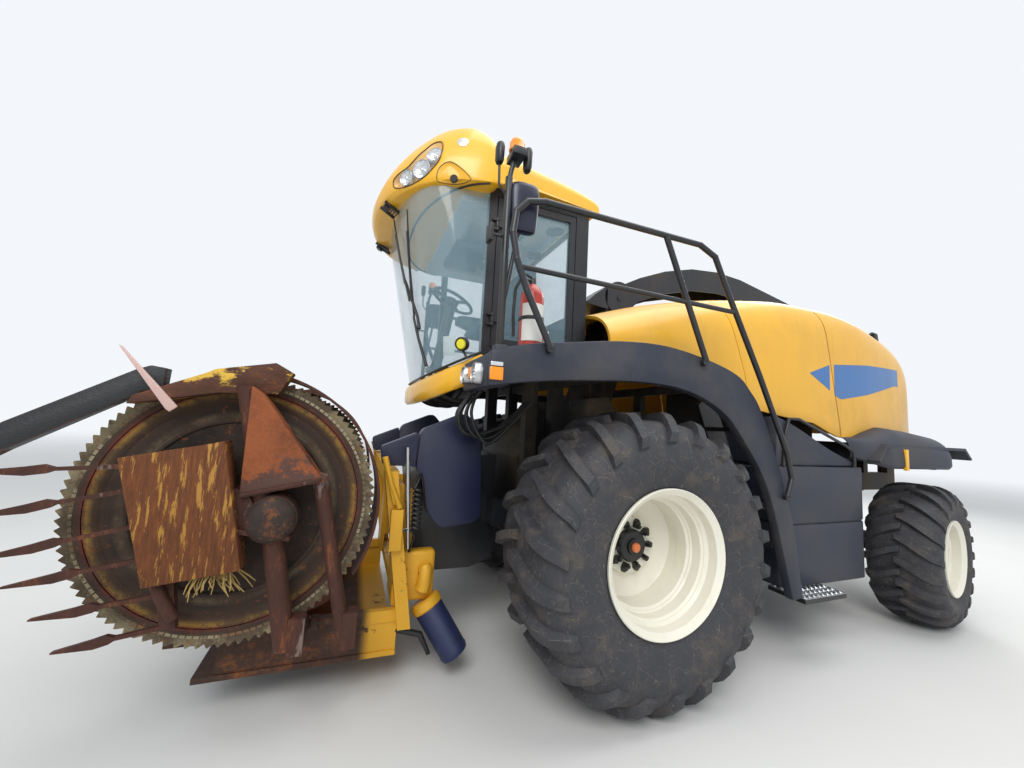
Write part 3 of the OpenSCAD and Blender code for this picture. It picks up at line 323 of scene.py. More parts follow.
def finish(name):
    """A finish of the machine by name, made once"""
    if name in FINISHES:
        return FINISHES[name]
    tones = bpy.context.scene.harvester_colours
    yellow, dark, rust = tuple(tones.yellow), tuple(tones.dark), tuple(tones.rust)
    makers = {
        "yellow paint": lambda n: paint(n, yellow, low=(1.6, 2.3)),
        "roof yellow": lambda n: paint(n, colour("F2B41A"), dust=0.2, coat=0.4),
        "header yellow": lambda n: rusty(n, colour("4A3226"), colour("D9A227"), 0.4, until=2.42),
        "drive yellow": lambda n: rusty(n, rust, colour("D9A227"), 0.42),
        "beam yellow": lambda n: rusty(n, colour("54301E"), colour("C9A12E"), 0.62, along=(1, 1, 2)),
        "cream paint": lambda n: paint(n, tuple(tones.cream), dust=0.28, rough=0.36, coat=0.15),
        "dark plastic": lambda n: plastic(n, dark),
        "tank plastic": lambda n: plastic(n, shade(dark, 1.1), rough=0.42, dust=0.22),
        "navy plastic": lambda n: plastic(n, colour("181E3A"), rough=0.42, dust=0.15),
        "navy paint": lambda n: rusty(n, colour("2A2A30"), colour("222B4E"), 0.42),
        "black trim": lambda n: plastic(n, colour("131417"), rough=0.4, dust=0.18),
        "black paint": lambda n: paint(n, colour("181A20"), dust=0.1, rough=0.38, coat=0.15),
        "chassis paint": lambda n: paint(n, colour("18191B"), dust=0.5, rough=0.6, coat=0.0),
        "mirror blue": lambda n: plastic(n, colour("1D2036"), rough=0.3, dust=0.15),
        "rusty steel": lambda n: rusty(n, rust),
        "red brown steel": lambda n: rusty(n, colour("4A281C"), colour("75625A"), 0.66, along=(1.6, 1.6, 0.4)),
        "dark steel": lambda n: rusty(n, colour("33261F"), along=(2, 2, 2)),
        "skid plate": lambda n: rusty(n, colour("6E3C18"), colour("A9792A"), 0.61, along=(14, 2, 1.6)),
        "gusset rust": lambda n: rusty(n, colour("8C4A22"), colour("4A2C20"), 0.57),
        "disc face": lambda n: ringed(n, at(DISC_X, 0, DISC_Z), [
            (0.0, colour("2E211A")), (0.30, colour("2B1F18")), (0.43, colour("1F1814")), (0.475, colour("5E503C")),
            (0.5, colour("2A201A")), (0.56, colour("45301F")), (0.585, colour("8A6A2C")), (0.6, colour("6B2A1E")),
            (0.625, colour("3B3026")), (0.645, colour("756A52")), (0.69, colour("8E8062"))]),
        "tan steel": lambda n: rusty(n, colour("6E5C45"), colour("94866A"), 0.55),
        "divider black": lambda n: rusty(n, colour("3A2A22"), colour("1E1F22"), 0.4),
        "engine iron": lambda n: rusty(n, colour("3A3A3C"), colour("2A2B2E"), 0.4),
        "front rubber": lambda n: tyre_rubber(n, tuple(tones.rubber), at(0, 0, 900), (0, 0, 0)),
        "rear rubber": lambda n: tyre_rubber(n, tuple(tones.rubber), at(-WHEELBASE, 0, 650), (0, 0, -PARK_STEER)),
        "cab glass": lambda n: see_through(n, tuple(tones.glass), 0.2),
        "clear cover": lambda n: see_through(n, colour("E8EDF0"), 0.08),
        "reflector": lambda n: metal(n, colour("E6E8EA"), 0.12, (1, 1, 1)),
        "bright steel": lambda n: metal(n, colour("C2C4C6"), 0.3),
        "orange lens": lambda n: see_through(n, colour("FF9408"), 0.92, 0.15),
        "lamp yellow": lambda n: paint(n, colour("EDE21E"), dust=0.1, coat=0.5),
        "red paint": lambda n: paint(n, colour("B3261A"), dust=0.25, coat=0.4),
        "blank label": lambda n: plastic(n, colour("E2E0D8"), rough=0.55, dust=0.1),
        "orange cap": lambda n: paint(n, colour("D8743A"), dust=0.3),
        "cab lining": lambda n: plastic(n, colour("C3C8CA"), rough=0.75, dust=0.12, speckle=420.0),
        "grey lining": lambda n: plastic(n, colour("4A4C50"), rough=0.7, dust=0.1, speckle=420.0),
        "seat cloth": lambda n: woven(n, colour("2F4566")),
        "blade pink": lambda n: rusty(n, colour("8A6A60"), colour("C9A9A0"), 0.4),
        "straw": lambda n: plastic(n, colour("A88C52"), rough=0.8, dust=0.4, speckle=90.0),
        "blue band": lambda n: paint(n, colour("2C6BAA"), dust=0.25),
    }
    FINISHES[name] = makers[name](name.replace(" ", "_"))
    return FINISHES[name]


# The record's material slot of each finish that has one
SLOTS = {
    "yellow_paint": ("yellow paint", "roof yellow", "drive yellow"),
    "cream_paint": ("cream paint",),
    "dark_plastic": ("dark plastic", "tank plastic", "navy plastic", "black trim", "mirror blue", "grey lining"),
    "black_paint": ("black paint", "navy paint"),
    "grey_steel": ("bright steel",),
    "rusty_steel": ("rusty steel", "red brown steel", "dark steel", "skid plate", "gusset rust", "beam yellow",
                    "disc face", "tan steel", "divider black", "blade pink"),
    "tyre": ("front rubber", "rear rubber"),
    "glass": ("cab glass",),
    "lamp_glass": ("clear cover", "reflector", "orange lens"),
    "seat_fabric": ("seat cloth",),
    "red_paint": ("red paint",),
}


# Shapes

def at(x, y, z):
    """A point of the machine, from millimetres to the frame's metres"""
    return Vector(((x + SHIFT) / 1000, y / 1000, z / 1000))


def spline(points, per=8):
    """Samples of a smooth curve through a row of points"""
    p = np.array(points, float)
    p = np.vstack([2 * p[0] - p[1], p, 2 * p[-1] - p[-2]])
    out = []
    for i in range(1, len(p) - 2):
        a, b, c, d = p[i - 1:i + 3]
        for t in np.arange(per) / per:
            out.append(0.5 * (2 * b + (c - a) * t + (2 * a - 5 * b + 4 * c - d) * t ** 2
                              + (3 * b - a - 3 * c + d) * t ** 3))
    out.append(p[-2])
    return np.array(out)


def follow(table, where):
    """Value of a smooth curve through a table of pairs"""
    curve = spline(table, 10)
    order = np.argsort(curve[:, 0])
    return np.interp(where, curve[order, 0], curve[order, 1])


def smooth(t):
    """0 below 0, 1 above 1, smooth between"""
    t = np.clip(t, 0.0, 1.0)
    return t * t * (3 - 2 * t)


def closed(points, per=6):
    """Samples of a smooth curve that closes on itself"""
    p = np.array(points, float)
    return spline(np.vstack([p[-1], p, p[:2]]), per)[per:-per - 1]


def inside(border, x, y):
    """How far points lie inside a closed border, below 0 outside"""
    edge = np.roll(border, -1, axis=0) - border
    away = np.stack([x, y], -1)[..., None, :] - border
    share = np.clip((away * edge).sum(-1) / (edge ** 2).sum(-1), 0, 1)
    gap = np.linalg.norm(away - share[..., None] * edge, axis=-1).min(-1)
    above = away[..., 1] < 0
    crossed = (above != (away[..., 1] < edge[:, 1])) & (
        (away[..., 0] * edge[:, 1] < edge[:, 0] * away[..., 1]) == (edge[:, 1] > 0))
    return np.where(crossed.sum(-1) % 2 == 1, gap, -gap)


class Form:
    """Points and faces of a piece, in the machine's millimetres"""

    def __init__(self):
        self.points, self.faces = [], []

    def put(self, points, faces):
        base = len(self.points)
        self.points += [tuple(float(c) for c in p) for p in points]
        self.faces += [tuple(base + i for i in f) for f in faces]
        return self

    def grid(self, rows, loop=False, cap=False):
        """Quads between rows of equally many points"""
        n, m = len(rows), len(rows[0])
        flat = [p for row in rows for p in row]
        last = m if loop else m - 1
        faces = [(i * m + j, i * m + (j + 1) % m, (i + 1) * m + (j + 1) % m, (i + 1) * m + j)
                 for i in range(n - 1) for j in range(last)]
        if cap:
            faces += [tuple(range(m - 1, -1, -1)), tuple((n - 1) * m + j for j in range(m))]
        return self.put(flat, faces)

    def box(self, low, high):
        (a, b, c), (d, e, f) = low, high
        return self.grid([[(a, b, z), (d, b, z), (d, e, z), (a, e, z)] for z in (c, f)], loop=True, cap=True)

    def slab(self, outline, y0, y1):
        """An outline in X and Z, drawn out along Y"""
        return self.grid([[(x, y, z) for x, z in outline] for y in (y0, y1)], loop=True, cap=True)

    def plate(self, outline, z0, z1):
        """An outline in X and Y, drawn out along Z"""
        return self.grid([[(x, y, z) for x, y in outline] for z in (z0, z1)], loop=True, cap=True)

    def tube(self, points, radius, sides=14):
        """A round tube along points. The radius may be one for each point"""
        p = [Vector(q) for q in points]
        radii = radius if hasattr(radius, "__len__") else [radius] * len(p)
        rows, side = [], None
        for i, q in enumerate(p):
            ahead = (p[min(i + 1, len(p) - 1)] - p[max(i - 1, 0)]).normalized()
            side = ahead.orthogonal().normalized() if side is None else (side - side.dot(ahead) * ahead).normalized()
            up = ahead.cross(side)
            rows.append([q + radii[i] * (math.cos(a) * side + math.sin(a) * up)
                         for a in [2 * math.pi * k / sides for k in range(sides)]])
        return self.grid(rows, loop=True, cap=True)

    def lathe(self, profile, centre, axis="Y", steps=96, closed=True):
        """Turns a profile of radius and height round an axis"""
        rows = []
        for k in range(steps):
            a = 2 * math.pi * k / steps
            c, s = math.cos(a), math.sin(a)
            turned = {"X": lambda r, h: (h, r * c, r * s), "Y": lambda r, h: (r * s, h, r * c),
                      "Z": lambda r, h: (r * c, r * s, h)}[axis]
            rows.append([Vector(centre) + Vector(turned(r, h)) for r, h in profile])
        rows.append(rows[0])
        return self.grid(rows, loop=closed)

    def pierced(self, x, y, radius):
        """Opens a round upright hole through the form's sheet"""
        p = np.array(self.points)
        away = p[:, :2] - (x, y)
        far = np.maximum(np.hypot(*away.T), 1e-6)
        kept = [f for f in self.faces if any(far[i] >= radius for i in f)]
        p[:, :2] = (x, y) + away * np.maximum(1, radius / far)[:, None]
        used = sorted({i for f in kept for i in f})
        order = {old: new for new, old in enumerate(used)}
        return Form().put(p[used], [[order[i] for i in f] for f in kept])

    def add(self, other, matrix=None):
        points = [matrix @ Vector(p) for p in other.points] if matrix is not None else other.points
        return self.put(points, other.faces)

    def mirrored(self):
        """The same form on the machine's other side"""
        return Form().put([(x, -y, z) for x, y, z in self.points], [f[::-1] for f in self.faces])

    def both(self):
        return Form().add(self).add(self.mirrored())

    def done(self, name, material, body="chassis", replaces=(), edge=0.0, wall=0.0, sharp=38, turn=None,
             second=None, marked=None):
        """Makes the piece, with rounded edges or a wall where asked, and lets it ride on its body"""
        mesh = bpy.data.meshes.new(name)
        mesh.from_pydata([at(*p) for p in self.points], [], self.faces)
        if second:
            mesh.polygons.foreach_set("material_index", marked)
        if turn is not None:
            mesh.transform(turn)
        tidy = bmesh.new()
        tidy.from_mesh(mesh)
        bmesh.ops.remove_doubles(tidy, verts=tidy.verts, dist=2e-5)
        bmesh.ops.dissolve_degenerate(tidy, edges=tidy.edges, dist=1e-5)
        bmesh.ops.recalc_face_normals(tidy, faces=tidy.faces)
        tidy.to_mesh(mesh)
        tidy.free()
        piece = bpy.data.objects.new(name, mesh)
        bpy.context.scene.collection.objects.link(piece)
        if wall:
            shell = piece.modifiers.new("wall", "SOLIDIFY")
            shell.thickness, shell.offset = wall, -1
            shell.use_even_offset = False
        if edge:
            rounding = piece.modifiers.new("edge", "BEVEL")
            rounding.width, rounding.segments, rounding.limit_method = edge, 2, "ANGLE"
            rounding.angle_limit = math.radians(30)
            rounding.use_clamp_overlap = True
        settle(piece)
        piece.data.shade_smooth()
        piece.data.set_sharp_from_angle(angle=math.radians(sharp))
        piece.data.materials.clear()
        for coat in (material, second) if second else (material,):
            piece.data.materials.append(finish(coat))
        if replaces:
            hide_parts(*replaces)
        for slot, coats in SLOTS.items():
            material in coats
        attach(piece, body)
        return piece


def settle(piece):
    """Turns what the modifiers make into the piece's plain mesh"""
    if piece.modifiers:
        seen = piece.evaluated_get(bpy.context.evaluated_depsgraph_get())
        made = bpy.data.meshes.new_from_object(seen)
        piece.modifiers.clear()
        piece.data = made


def nose(a, b, power, steps):
    """Half of a rounded outline, from its right end over the front to its left end"""
    out = []
    for i in range(steps + 1):
        t = -math.pi / 2 + math.pi * i / steps
        out.append((a * max(0.0, math.cos(t)) ** (2 / power),
                    b * math.copysign(abs(math.sin(t)) ** (2 / power), t)))
    return out


# Repeats by geometry nodes

def repeat_tree(name, along_path):
    """Copies of an object round a circle, or along the object's own path"""
    tree = bpy.data.node_groups.new(name, "GeometryNodeTree")
    face = tree.interface
    face.new_socket("Geometry", in_out="INPUT", socket_type="NodeSocketGeometry")
    for label, kind in (("Copy", "NodeSocketObject"), ("Count", "NodeSocketInt"), ("Radius", "NodeSocketFloat"),
                        ("Material", "NodeSocketMaterial")):
        face.new_socket(label, in_out="INPUT", socket_type=kind)
    face.new_socket("Geometry", in_out="OUTPUT", socket_type="NodeSocketGeometry")
    new, link = tree.nodes.new, tree.links.new
    given, out = new("NodeGroupInput"), new("NodeGroupOutput")
    turn = new("FunctionNodeAlignRotationToVector")
    turn.axis, turn.pivot_axis = "X", "Z" if not along_path else "AUTO"
    if along_path:
        curve, points = new("GeometryNodeMeshToCurve"), new("GeometryNodeResampleCurve")
        tangent = new("GeometryNodeInputTangent")
        link(given.outputs["Geometry"], curve.inputs[0])
        link(curve.outputs[0], points.inputs["Curve"])
        link(given.outputs["Count"], points.inputs["Count"])
        link(tangent.outputs[0], turn.inputs["Vector"])
    else:
        points, place = new("GeometryNodeMeshCircle"), new("GeometryNodeInputPosition")
        link(given.outputs["Count"], points.inputs["Vertices"])
        link(given.outputs["Radius"], points.inputs["Radius"])
        link(place.outputs[0], turn.inputs["Vector"])
    copy, spread = new("GeometryNodeObjectInfo"), new("GeometryNodeInstanceOnPoints")
    real, coat = new("GeometryNodeRealizeInstances"), new("GeometryNodeSetMaterial")
    link(given.outputs["Copy"], copy.inputs["Object"])
    link(points.outputs[0], spread.inputs["Points"])
    link(copy.outputs["Geometry"], spread.inputs["Instance"])
    link(turn.outputs[0], spread.inputs["Rotation"])
    link(spread.outputs[0], real.inputs[0])
    link(real.outputs[0], coat.inputs["Geometry"])
    link(given.outputs["Material"], coat.inputs["Material"])
    link(coat.outputs[0], out.inputs[0])
    return tree


def repeated(copy, count, radius=0.0, path=None):
    """Form of copies round a circle about Z, or along a path, made with geometry nodes. All in millimetres"""
    name = "row of copies" if path else "ring of copies"
    tree = bpy.data.node_groups.get(name) or repeat_tree(name, bool(path))
    template = bpy.data.objects.new("template", bpy.data.meshes.new("template"))
    template.data.from_pydata(copy.points, [], copy.faces)
    carrier = bpy.data.objects.new("carrier", bpy.data.meshes.new("carrier"))
    carrier.data.from_pydata(path or [(0, 0, 0)], [(i, i + 1) for i in range(len(path or [0]) - 1)], [])
    for o in (template, carrier):
        bpy.context.scene.collection.objects.link(o)
    rule = carrier.modifiers.new("copies", "NODES")
    rule.node_group = tree
    socket = {s.name: s.identifier for s in tree.interface.items_tree if s.in_out == "INPUT"}
    rule[socket["Copy"]], rule[socket["Count"]], rule[socket["Radius"]] = template, count, float(radius)
    carrier.update_tag()
    bpy.context.view_layer.update()
    made = bpy.data.meshes.new_from_object(carrier.evaluated_get(bpy.context.evaluated_depsgraph_get()))
    carrier.modifiers.clear()
    form = Form().put([v.co for v in made.vertices], [tuple(p.vertices) for p in made.polygons])
    for o in (template, carrier):
        bpy.data.objects.remove(o)
    return form


def each_side():
    return ((1, "left"), (-1, "right"))


def sided(form, s):
    return form if s > 0 else form.mirrored()


def front_wheel(s):
    """Places a form drawn round Y, with its outer side towards +Y, at a front wheel"""
    return Matrix.Translation(at(0, 1240 * s, 900)) @ Matrix.Translation(-at(0, 0, 0))


def rear_wheel(s):
    turn = Matrix.Rotation(PARK_STEER, 4, "Z")
    king = at(-WHEELBASE, KINGPIN_Y * s, 0)
    return Matrix.Translation(king) @ turn @ Matrix.Translation(Vector((0, 0.325 * s, 0.65))) \
        @ Matrix.Translation(-at(0, 0, 0))


# Wheels

def tyre_profile(r, width, bead_r, bead_w, lug):
    """Half section of the casing under the lugs, from the bead out to the crown"""
    h = r - lug - bead_r
    half = spline([(bead_r, bead_w / 2 - 6), (bead_r + 0.06 * h, bead_w / 2 + 12), (bead_r + 0.2 * h, width / 2 - 34),
                   (bead_r + 0.42 * h, width / 2 - 6), (bead_r + 0.62 * h, width / 2 - 8),
                   (bead_r + 0.8 * h, width / 2 - 36), (bead_r + 0.93 * h, width / 2 - 96),
                   (bead_r + 0.985 * h, width / 2 - 190), (bead_r + h, 0)], 4)
    return half


def tyre(r, width, bead_r, bead_w, lug, count):
    """A tyre with two rows of curved lugs that lean forward from the shoulders"""
    half = tyre_profile(r, width, bead_r, bead_w, lug)
    inner = [(bead_r + 2, -bead_w / 2 + 20), (bead_r + 2, bead_w / 2 - 20)]
    section = inner + [tuple(p) for p in half] + [(a, -b) for a, b in half[-2::-1]]
    form = Form().lathe(section, (0, 0, 0), "Y", 110)
    # Stations of a lug over the crown and down the shoulder
    lateral, radial = half[::-1][:-8, 1], half[::-1][:-8, 0]
    pitch = 2 * math.pi / count
    for s in (1, -1):
        for k in range(count):
            start = math.pi / 2 + pitch * (k + (0 if s > 0 else 0.5))
            rows = []
            for t in np.linspace(0, 1, 9):
                y = -18 + (width / 2 - 8) * min(1.0, t / 0.82)
                base = np.interp(abs(y), lateral, radial)
                top = min(r, base + lug * (1.15 if t < 0.6 else 1.05))
                if t > 0.82:
                    base, y = r - lug - 60 - (t - 0.82) * 420, width / 2 - 14 + (t - 0.82) * 30
                    top = base + lug * 0.2
                a0 = start + 172 / (r - 50) * t ** 1.2
                wide = (30 + 14 * t) / r
                side_y, top_y = (y, y) if t < 0.82 else (y - 16, y + 14)
                row = []
                for turn, radius, lat in ((-wide * 1.25, base - 12, side_y), (-wide * 0.8, top, top_y),
                                          (wide * 0.8, top, top_y), (wide * 1.25, base - 12, side_y)):
                    a = a0 + turn
                    row.append((radius * math.sin(a), lat * s, radius * math.cos(a)))
                rows.append(row)
            form.grid(rows, loop=True, cap=True)
    return form


def rim(lip_r, bead_w, disc_h, hub_r, hub_h):
    """A dished rim with stepped rings down to its disc, drawn round Y"""
    barrel = lip_r - 28
    w = bead_w / 2
    outer = [(lip_r, w + 30), (lip_r - 6, w + 34), (lip_r - 16, w + 26), (barrel - 14, w + 4), (barrel - 16, w - 60),
             (barrel - 34, w - 78), (barrel - 38, w - 150), (barrel - 60, w - 172), (barrel - 64, disc_h + 70),
             (barrel - 90, disc_h + 40), (barrel - 130, disc_h + 22), (hub_r + 40, disc_h), (hub_r, disc_h),
             (hub_r, disc_h + hub_h), (40, disc_h + hub_h)]
    inner = [(40, disc_h - 24), (hub_r + 40, disc_h - 24), (barrel - 120, disc_h - 2), (barrel - 78, disc_h + 20),
             (barrel - 74, w - 190), (barrel - 50, w - 170), (barrel - 48, w - 96), (barrel - 24, w - 74),
             (barrel - 22, -w), (lip_r - 16, -w - 26), (lip_r, -w - 30), (lip_r, -w - 16), (barrel, -w - 1),
             (barrel, w + 1), (lip_r, w + 16)]
    return Form().lathe(outer + inner, (0, 0, 0), "Y", 96)


class HARVESTER_OT_tyres(bpy.types.Operator):
    """Tyres with two rows of curved lugs"""
    bl_idname = "harvester.tyres"
    bl_label = "Tyres"

    def execute(self, context):
        size = context.scene.harvester_sizes
        lug = size.lug_height * 1000
        front = tyre(898, 796, 412, 640, lug, size.front_lugs)
        rear = tyre(648, 536, 318, 440, lug * 0.8, size.rear_lugs)
        for s, side in each_side():
            sided(front, s).done(f"front_tyre_{side}_lugs", "front rubber", f"front_wheel_{side}",
                                 [f"front_tyre_{side}"], turn=front_wheel(s), sharp=32)
            sided(rear, s).done(f"rear_tyre_{side}_lugs", "rear rubber", f"rear_wheel_{side}",
                                [f"rear_tyre_{side}"], turn=rear_wheel(s), sharp=32)
        return {"FINISHED"}


class HARVESTER_OT_rims(bpy.types.Operator):
    """Dished rims with the hub, its bolts and its cap"""
    bl_idname = "harvester.rims"
    bl_label = "Rims and hubs"

    def execute(self, context):
        wheels = ((front_wheel, "front", 436, 640, -80, 185, 40, 10), (rear_wheel, "rear", 342, 440, 10, 150, 30, 8))
        for place, end, lip_r, bead_w, disc_h, hub_r, hub_h, count in wheels:
            body = rim(lip_r, bead_w, disc_h, hub_r, hub_h)
            k = hub_r / 205
            y = disc_h + hub_h
            hub = Form().lathe([(0, y - 2), (118 * k, y - 2), (118 * k, y + 34), (104 * k, y + 46), (60 * k, y + 50),
                                (56 * k, y + 66), (0, y + 66)], (0, 0, 0), "Y", 64, closed=False)
            # Wedge-shaped clamps: a stem with a nut whose head points outward
            clamp = Form().grid([[(-24 * k, -13 * k, z) for z in (0, 46)] + [(-24 * k, 13 * k, z) for z in (46, 0)],
                                 [(22 * k, -20 * k, z) for z in (0, 40)] + [(22 * k, 20 * k, z) for z in (40, 0)],
                                 [(46 * k, -7 * k, z) for z in (4, 26)] + [(46 * k, 7 * k, z) for z in (26, 4)]],
                                loop=True, cap=True)
            nut = Form().lathe([(0, 40), (15 * k, 40), (15 * k, 62), (8 * k, 68), (0, 68)], (-4, 0, 0), "Z", 6,
                               closed=False)
            ring = repeated(Form().add(clamp).add(nut), count, 152 * k)
            stand = Matrix.Translation((0, y - 2, 0)) @ Matrix.Rotation(-math.pi / 2, 4, "X")
            hub.add(ring, stand)
            cap = Form().lathe([(0, y + 64), (34 * k, y + 64), (34 * k, y + 80), (26 * k, y + 88), (0, y + 90)],
                               (0, 0, 0), "Y", 40, closed=False)
            valve = Form().tube([(lip_r - 70, bead_w / 2 - 164, 20), (lip_r - 96, bead_w / 2 - 150, 20),
                                 (lip_r - 106, bead_w / 2 - 120, 20)], 7, 10)
            for s, side in each_side():
                wheel = f"{end}_wheel_{side}"
                sided(body, s).done(f"{end}_rim_{side}_dish", "cream paint", wheel, [f"{end}_rim_{side}"],
                                    turn=place(s), sharp=30)
                sided(hub, s).done(f"{end}_hub_{side}", "black trim", wheel, turn=place(s), sharp=30)
                sided(cap, s).done(f"{end}_hub_cap_{side}", "orange cap", wheel, turn=place(s))
                sided(valve, s).done(f"{end}_valve_{side}", "black trim", wheel, turn=place(s))
        return {"FINISHED"}


# Hood

CROWN = [(300, 2555), (150, 2598), (-400, 2773), (-1050, 2922), (-1700, 3019), (-1950, 3039), (-2450, 3047),
         (-2900, 2998), (-3460, 2882), (-3900, 2716), (-4200, 2436), (-4400, 2070), (-4474, 1780)]
HALF_WIDTH = [(300, 1146), (150, 1146), (-1200, 1147), (-2500, 1146), (-3100, 1116), (-3700, 1026), (-4130, 866),
              (-4380, 640), (-4474, 340)]
LOWER_EDGE = [(-4474, 1772), (-4000, 1772), (-3650, 1778), (-3300, 1806), (-2950, 1822), (-2700, 1760),
              (-2560, 1712), (-2370, 1708), (-2200, 1762), (-2030, 1822), (-1580, 1864), (-1240, 1904), (-1000, 2062),
              (-900, 2062), (150, 2062)]
SEAM_FRONT = [(3200, -960), (2760, -965), (2180, -1170), (1700, -1260)]
SEAM_REAR = [(3200, -2184), (2880, -2190), (1780, -2402), (1600, -2420)]
LID_Y = 786.0


def hood_rib(x):
    """Left half of the hood's section at x, from the lower edge up to the crown"""
    top, half = float(follow(CROWN, x)), float(follow(HALF_WIDTH, x))
    low = min(float(np.interp(x, *zip(*LOWER_EDGE))), top - 8)
    waist = max(low, top - 560 * min(1.0, half / 1100))
    split = math.acos(min(1.0, LID_Y / half) ** 2) if half > LID_Y + 20 else math.pi / 3
    turns = [split * i / 12 for i in range(13)] + [split + (math.pi / 2 - split) * i / 8 for i in range(1, 9)]
    side = [(half, low + (waist - low) * i / 8) for i in range(8)]
    return side + [(half * math.cos(t) ** 0.5 if math.cos(t) > 1e-9 else 0.0,
                    waist + (top - waist) * math.sin(t) ** 0.5) for t in turns]


LID_ROW = 20


def hood_y(x, z):
    """Half width of the hood at a place along it and a height"""
    rib = sorted((p[1], p[0]) for p in hood_rib(x))
    return float(np.interp(z, *zip(*rib)))


def on_seam(seam, row):
    """Where a row of the hood's skin crosses a seam"""
    x = seam[1][1]
    zs, xs = zip(*sorted(seam))
    for _ in range(5):
        x = float(np.interp(hood_rib(x)[row][1], zs, xs))
    return x


def hood_skin(start, end, rows, steps, back=False):
    """Part of the hood between two borders, for a range of rows"""
    out = []
    for i in range(steps + 1):
        t = i / steps
        if back:
            t = 1 - (1 - t) ** 1.8
        line = []
        for row in rows:
            x = start(row) * (1 - t) + end(row) * t
            y, z = hood_rib(x)[row]
            line.append((x, y, z))
        out.append(line)
    return out


class HARVESTER_OT_hood(bpy.types.Operator):
    """Hood: front part, rear part with the spine, and two lids"""
    bl_idname = "harvester.hood"
    bl_label = "Hood"

    def execute(self, context):
        wall = context.scene.harvester_sizes.panel_wall
        rows = list(range(len(hood_rib(0))))
        lid_rows, spine_rows = rows[:LID_ROW + 1], rows[LID_ROW:]
        front_seam = {r: on_seam(SEAM_FRONT, r) for r in rows}
        rear_seam = {r: on_seam(SEAM_REAR, r) for r in rows}
        front = Form().grid(hood_skin(lambda r: 150.0, lambda r: front_seam[r] + 3, rows, 40)).both()
        front = front.pierced(-620, 0, 262)
        front.done("hood_front_skin", "yellow paint", replaces=["hood_front"], wall=wall, edge=0.004, sharp=30)
        rear = Form().grid(hood_skin(lambda r: rear_seam[r] - 6, lambda r: -4474.0, rows, 34, back=True))
        spine = hood_skin(lambda r: front_seam[r] - 3, lambda r: rear_seam[r] - 6, spine_rows, 18)
        spine = [[(x, y - 8 if j == 0 else y, z) for j, (x, y, z) in enumerate(line)] for line in spine]
        rear.grid(spine)
        rear.both().done("hood_rear_skin", "yellow paint", replaces=["hood_rear"], wall=wall, edge=0.004, sharp=30)
        lid = Form().grid(hood_skin(lambda r: front_seam[r] - 5, lambda r: rear_seam[r] + 6, lid_rows, 22))
        for s, side in each_side():
            sided(lid, s).done(f"hood_lid_{side}_skin", "yellow paint", f"hood_lid_{side}",
                               [f"hood_door_{side}"], wall=wall, edge=0.004, sharp=30)
            # Plain wedge-shaped stripe, in two parts that meet at the lid's seam
            for name, body, x0, x1 in (("stripe", "chassis", -2330, -3540),
                                       ("lid_stripe", f"hood_lid_{side}", -1985, -2262)):
                stripe = []
                for x in np.linspace(x0, x1, 24):
                    t = (x + 1985) / -1455
                    low = np.interp(t, [0, 0.29, 0.6, 1], [2272, 2062, 2140, 2280])
                    high = np.interp(t, [0, 0.2, 0.6, 1], [2276, 2380, 2432, 2455])
                    stripe.append([(x, hood_y(x, z) + 1.6, z) for z in np.linspace(low, high, 9)])
                sided(Form().grid(stripe), s).done(f"{name}_{side}", "blue band", body, wall=0.0012, sharp=60)
        # Small lamp at the rear top
        loop = spline([(-3790, 700, 2715), (-3780, 700, 2880), (-3810, 700, 2962), (-3880, 700, 2970),
                       (-3930, 700, 2930), (-3950, 700, 2615)], 5)
        lamp = Form().tube(loop.tolist(), 15, 10).box((-3900, 670, 2890), (-3830, 730, 2958))
        lamp.both().done("hood_lamps", "black trim", edge=0.006)
        return {"FINISHED"}


# Cab

SCREEN_LEAN = math.radians(12)
# How far the screen bows ahead of the pillars, its half width, and where its edges end
SCREEN_BOW, SCREEN_HALF, SCREEN_BACK = 388, 863, PILLAR_X + 60


def screen_line(z):
    """Outline of the leaning screen at a height"""
    rise = (z - 1980) / math.cos(SCREEN_LEAN)
    line = [(SCREEN_BACK, -SCREEN_HALF)]
    for lx, y in nose(SCREEN_BOW, SCREEN_HALF, 2.6, 40):
        climb = rise + lx * math.tan(SCREEN_LEAN)
        x = PILLAR_X + lx * math.cos(SCREEN_LEAN) + climb * math.sin(SCREEN_LEAN)
        line.append((max(SCREEN_BACK, x), y))
    line.append((SCREEN_BACK, SCREEN_HALF))
    return line


def below_screen(x):
    """Height of the sloping joint between the screen and the nose"""
    return 2215 - (x - 900) * 305 / 600


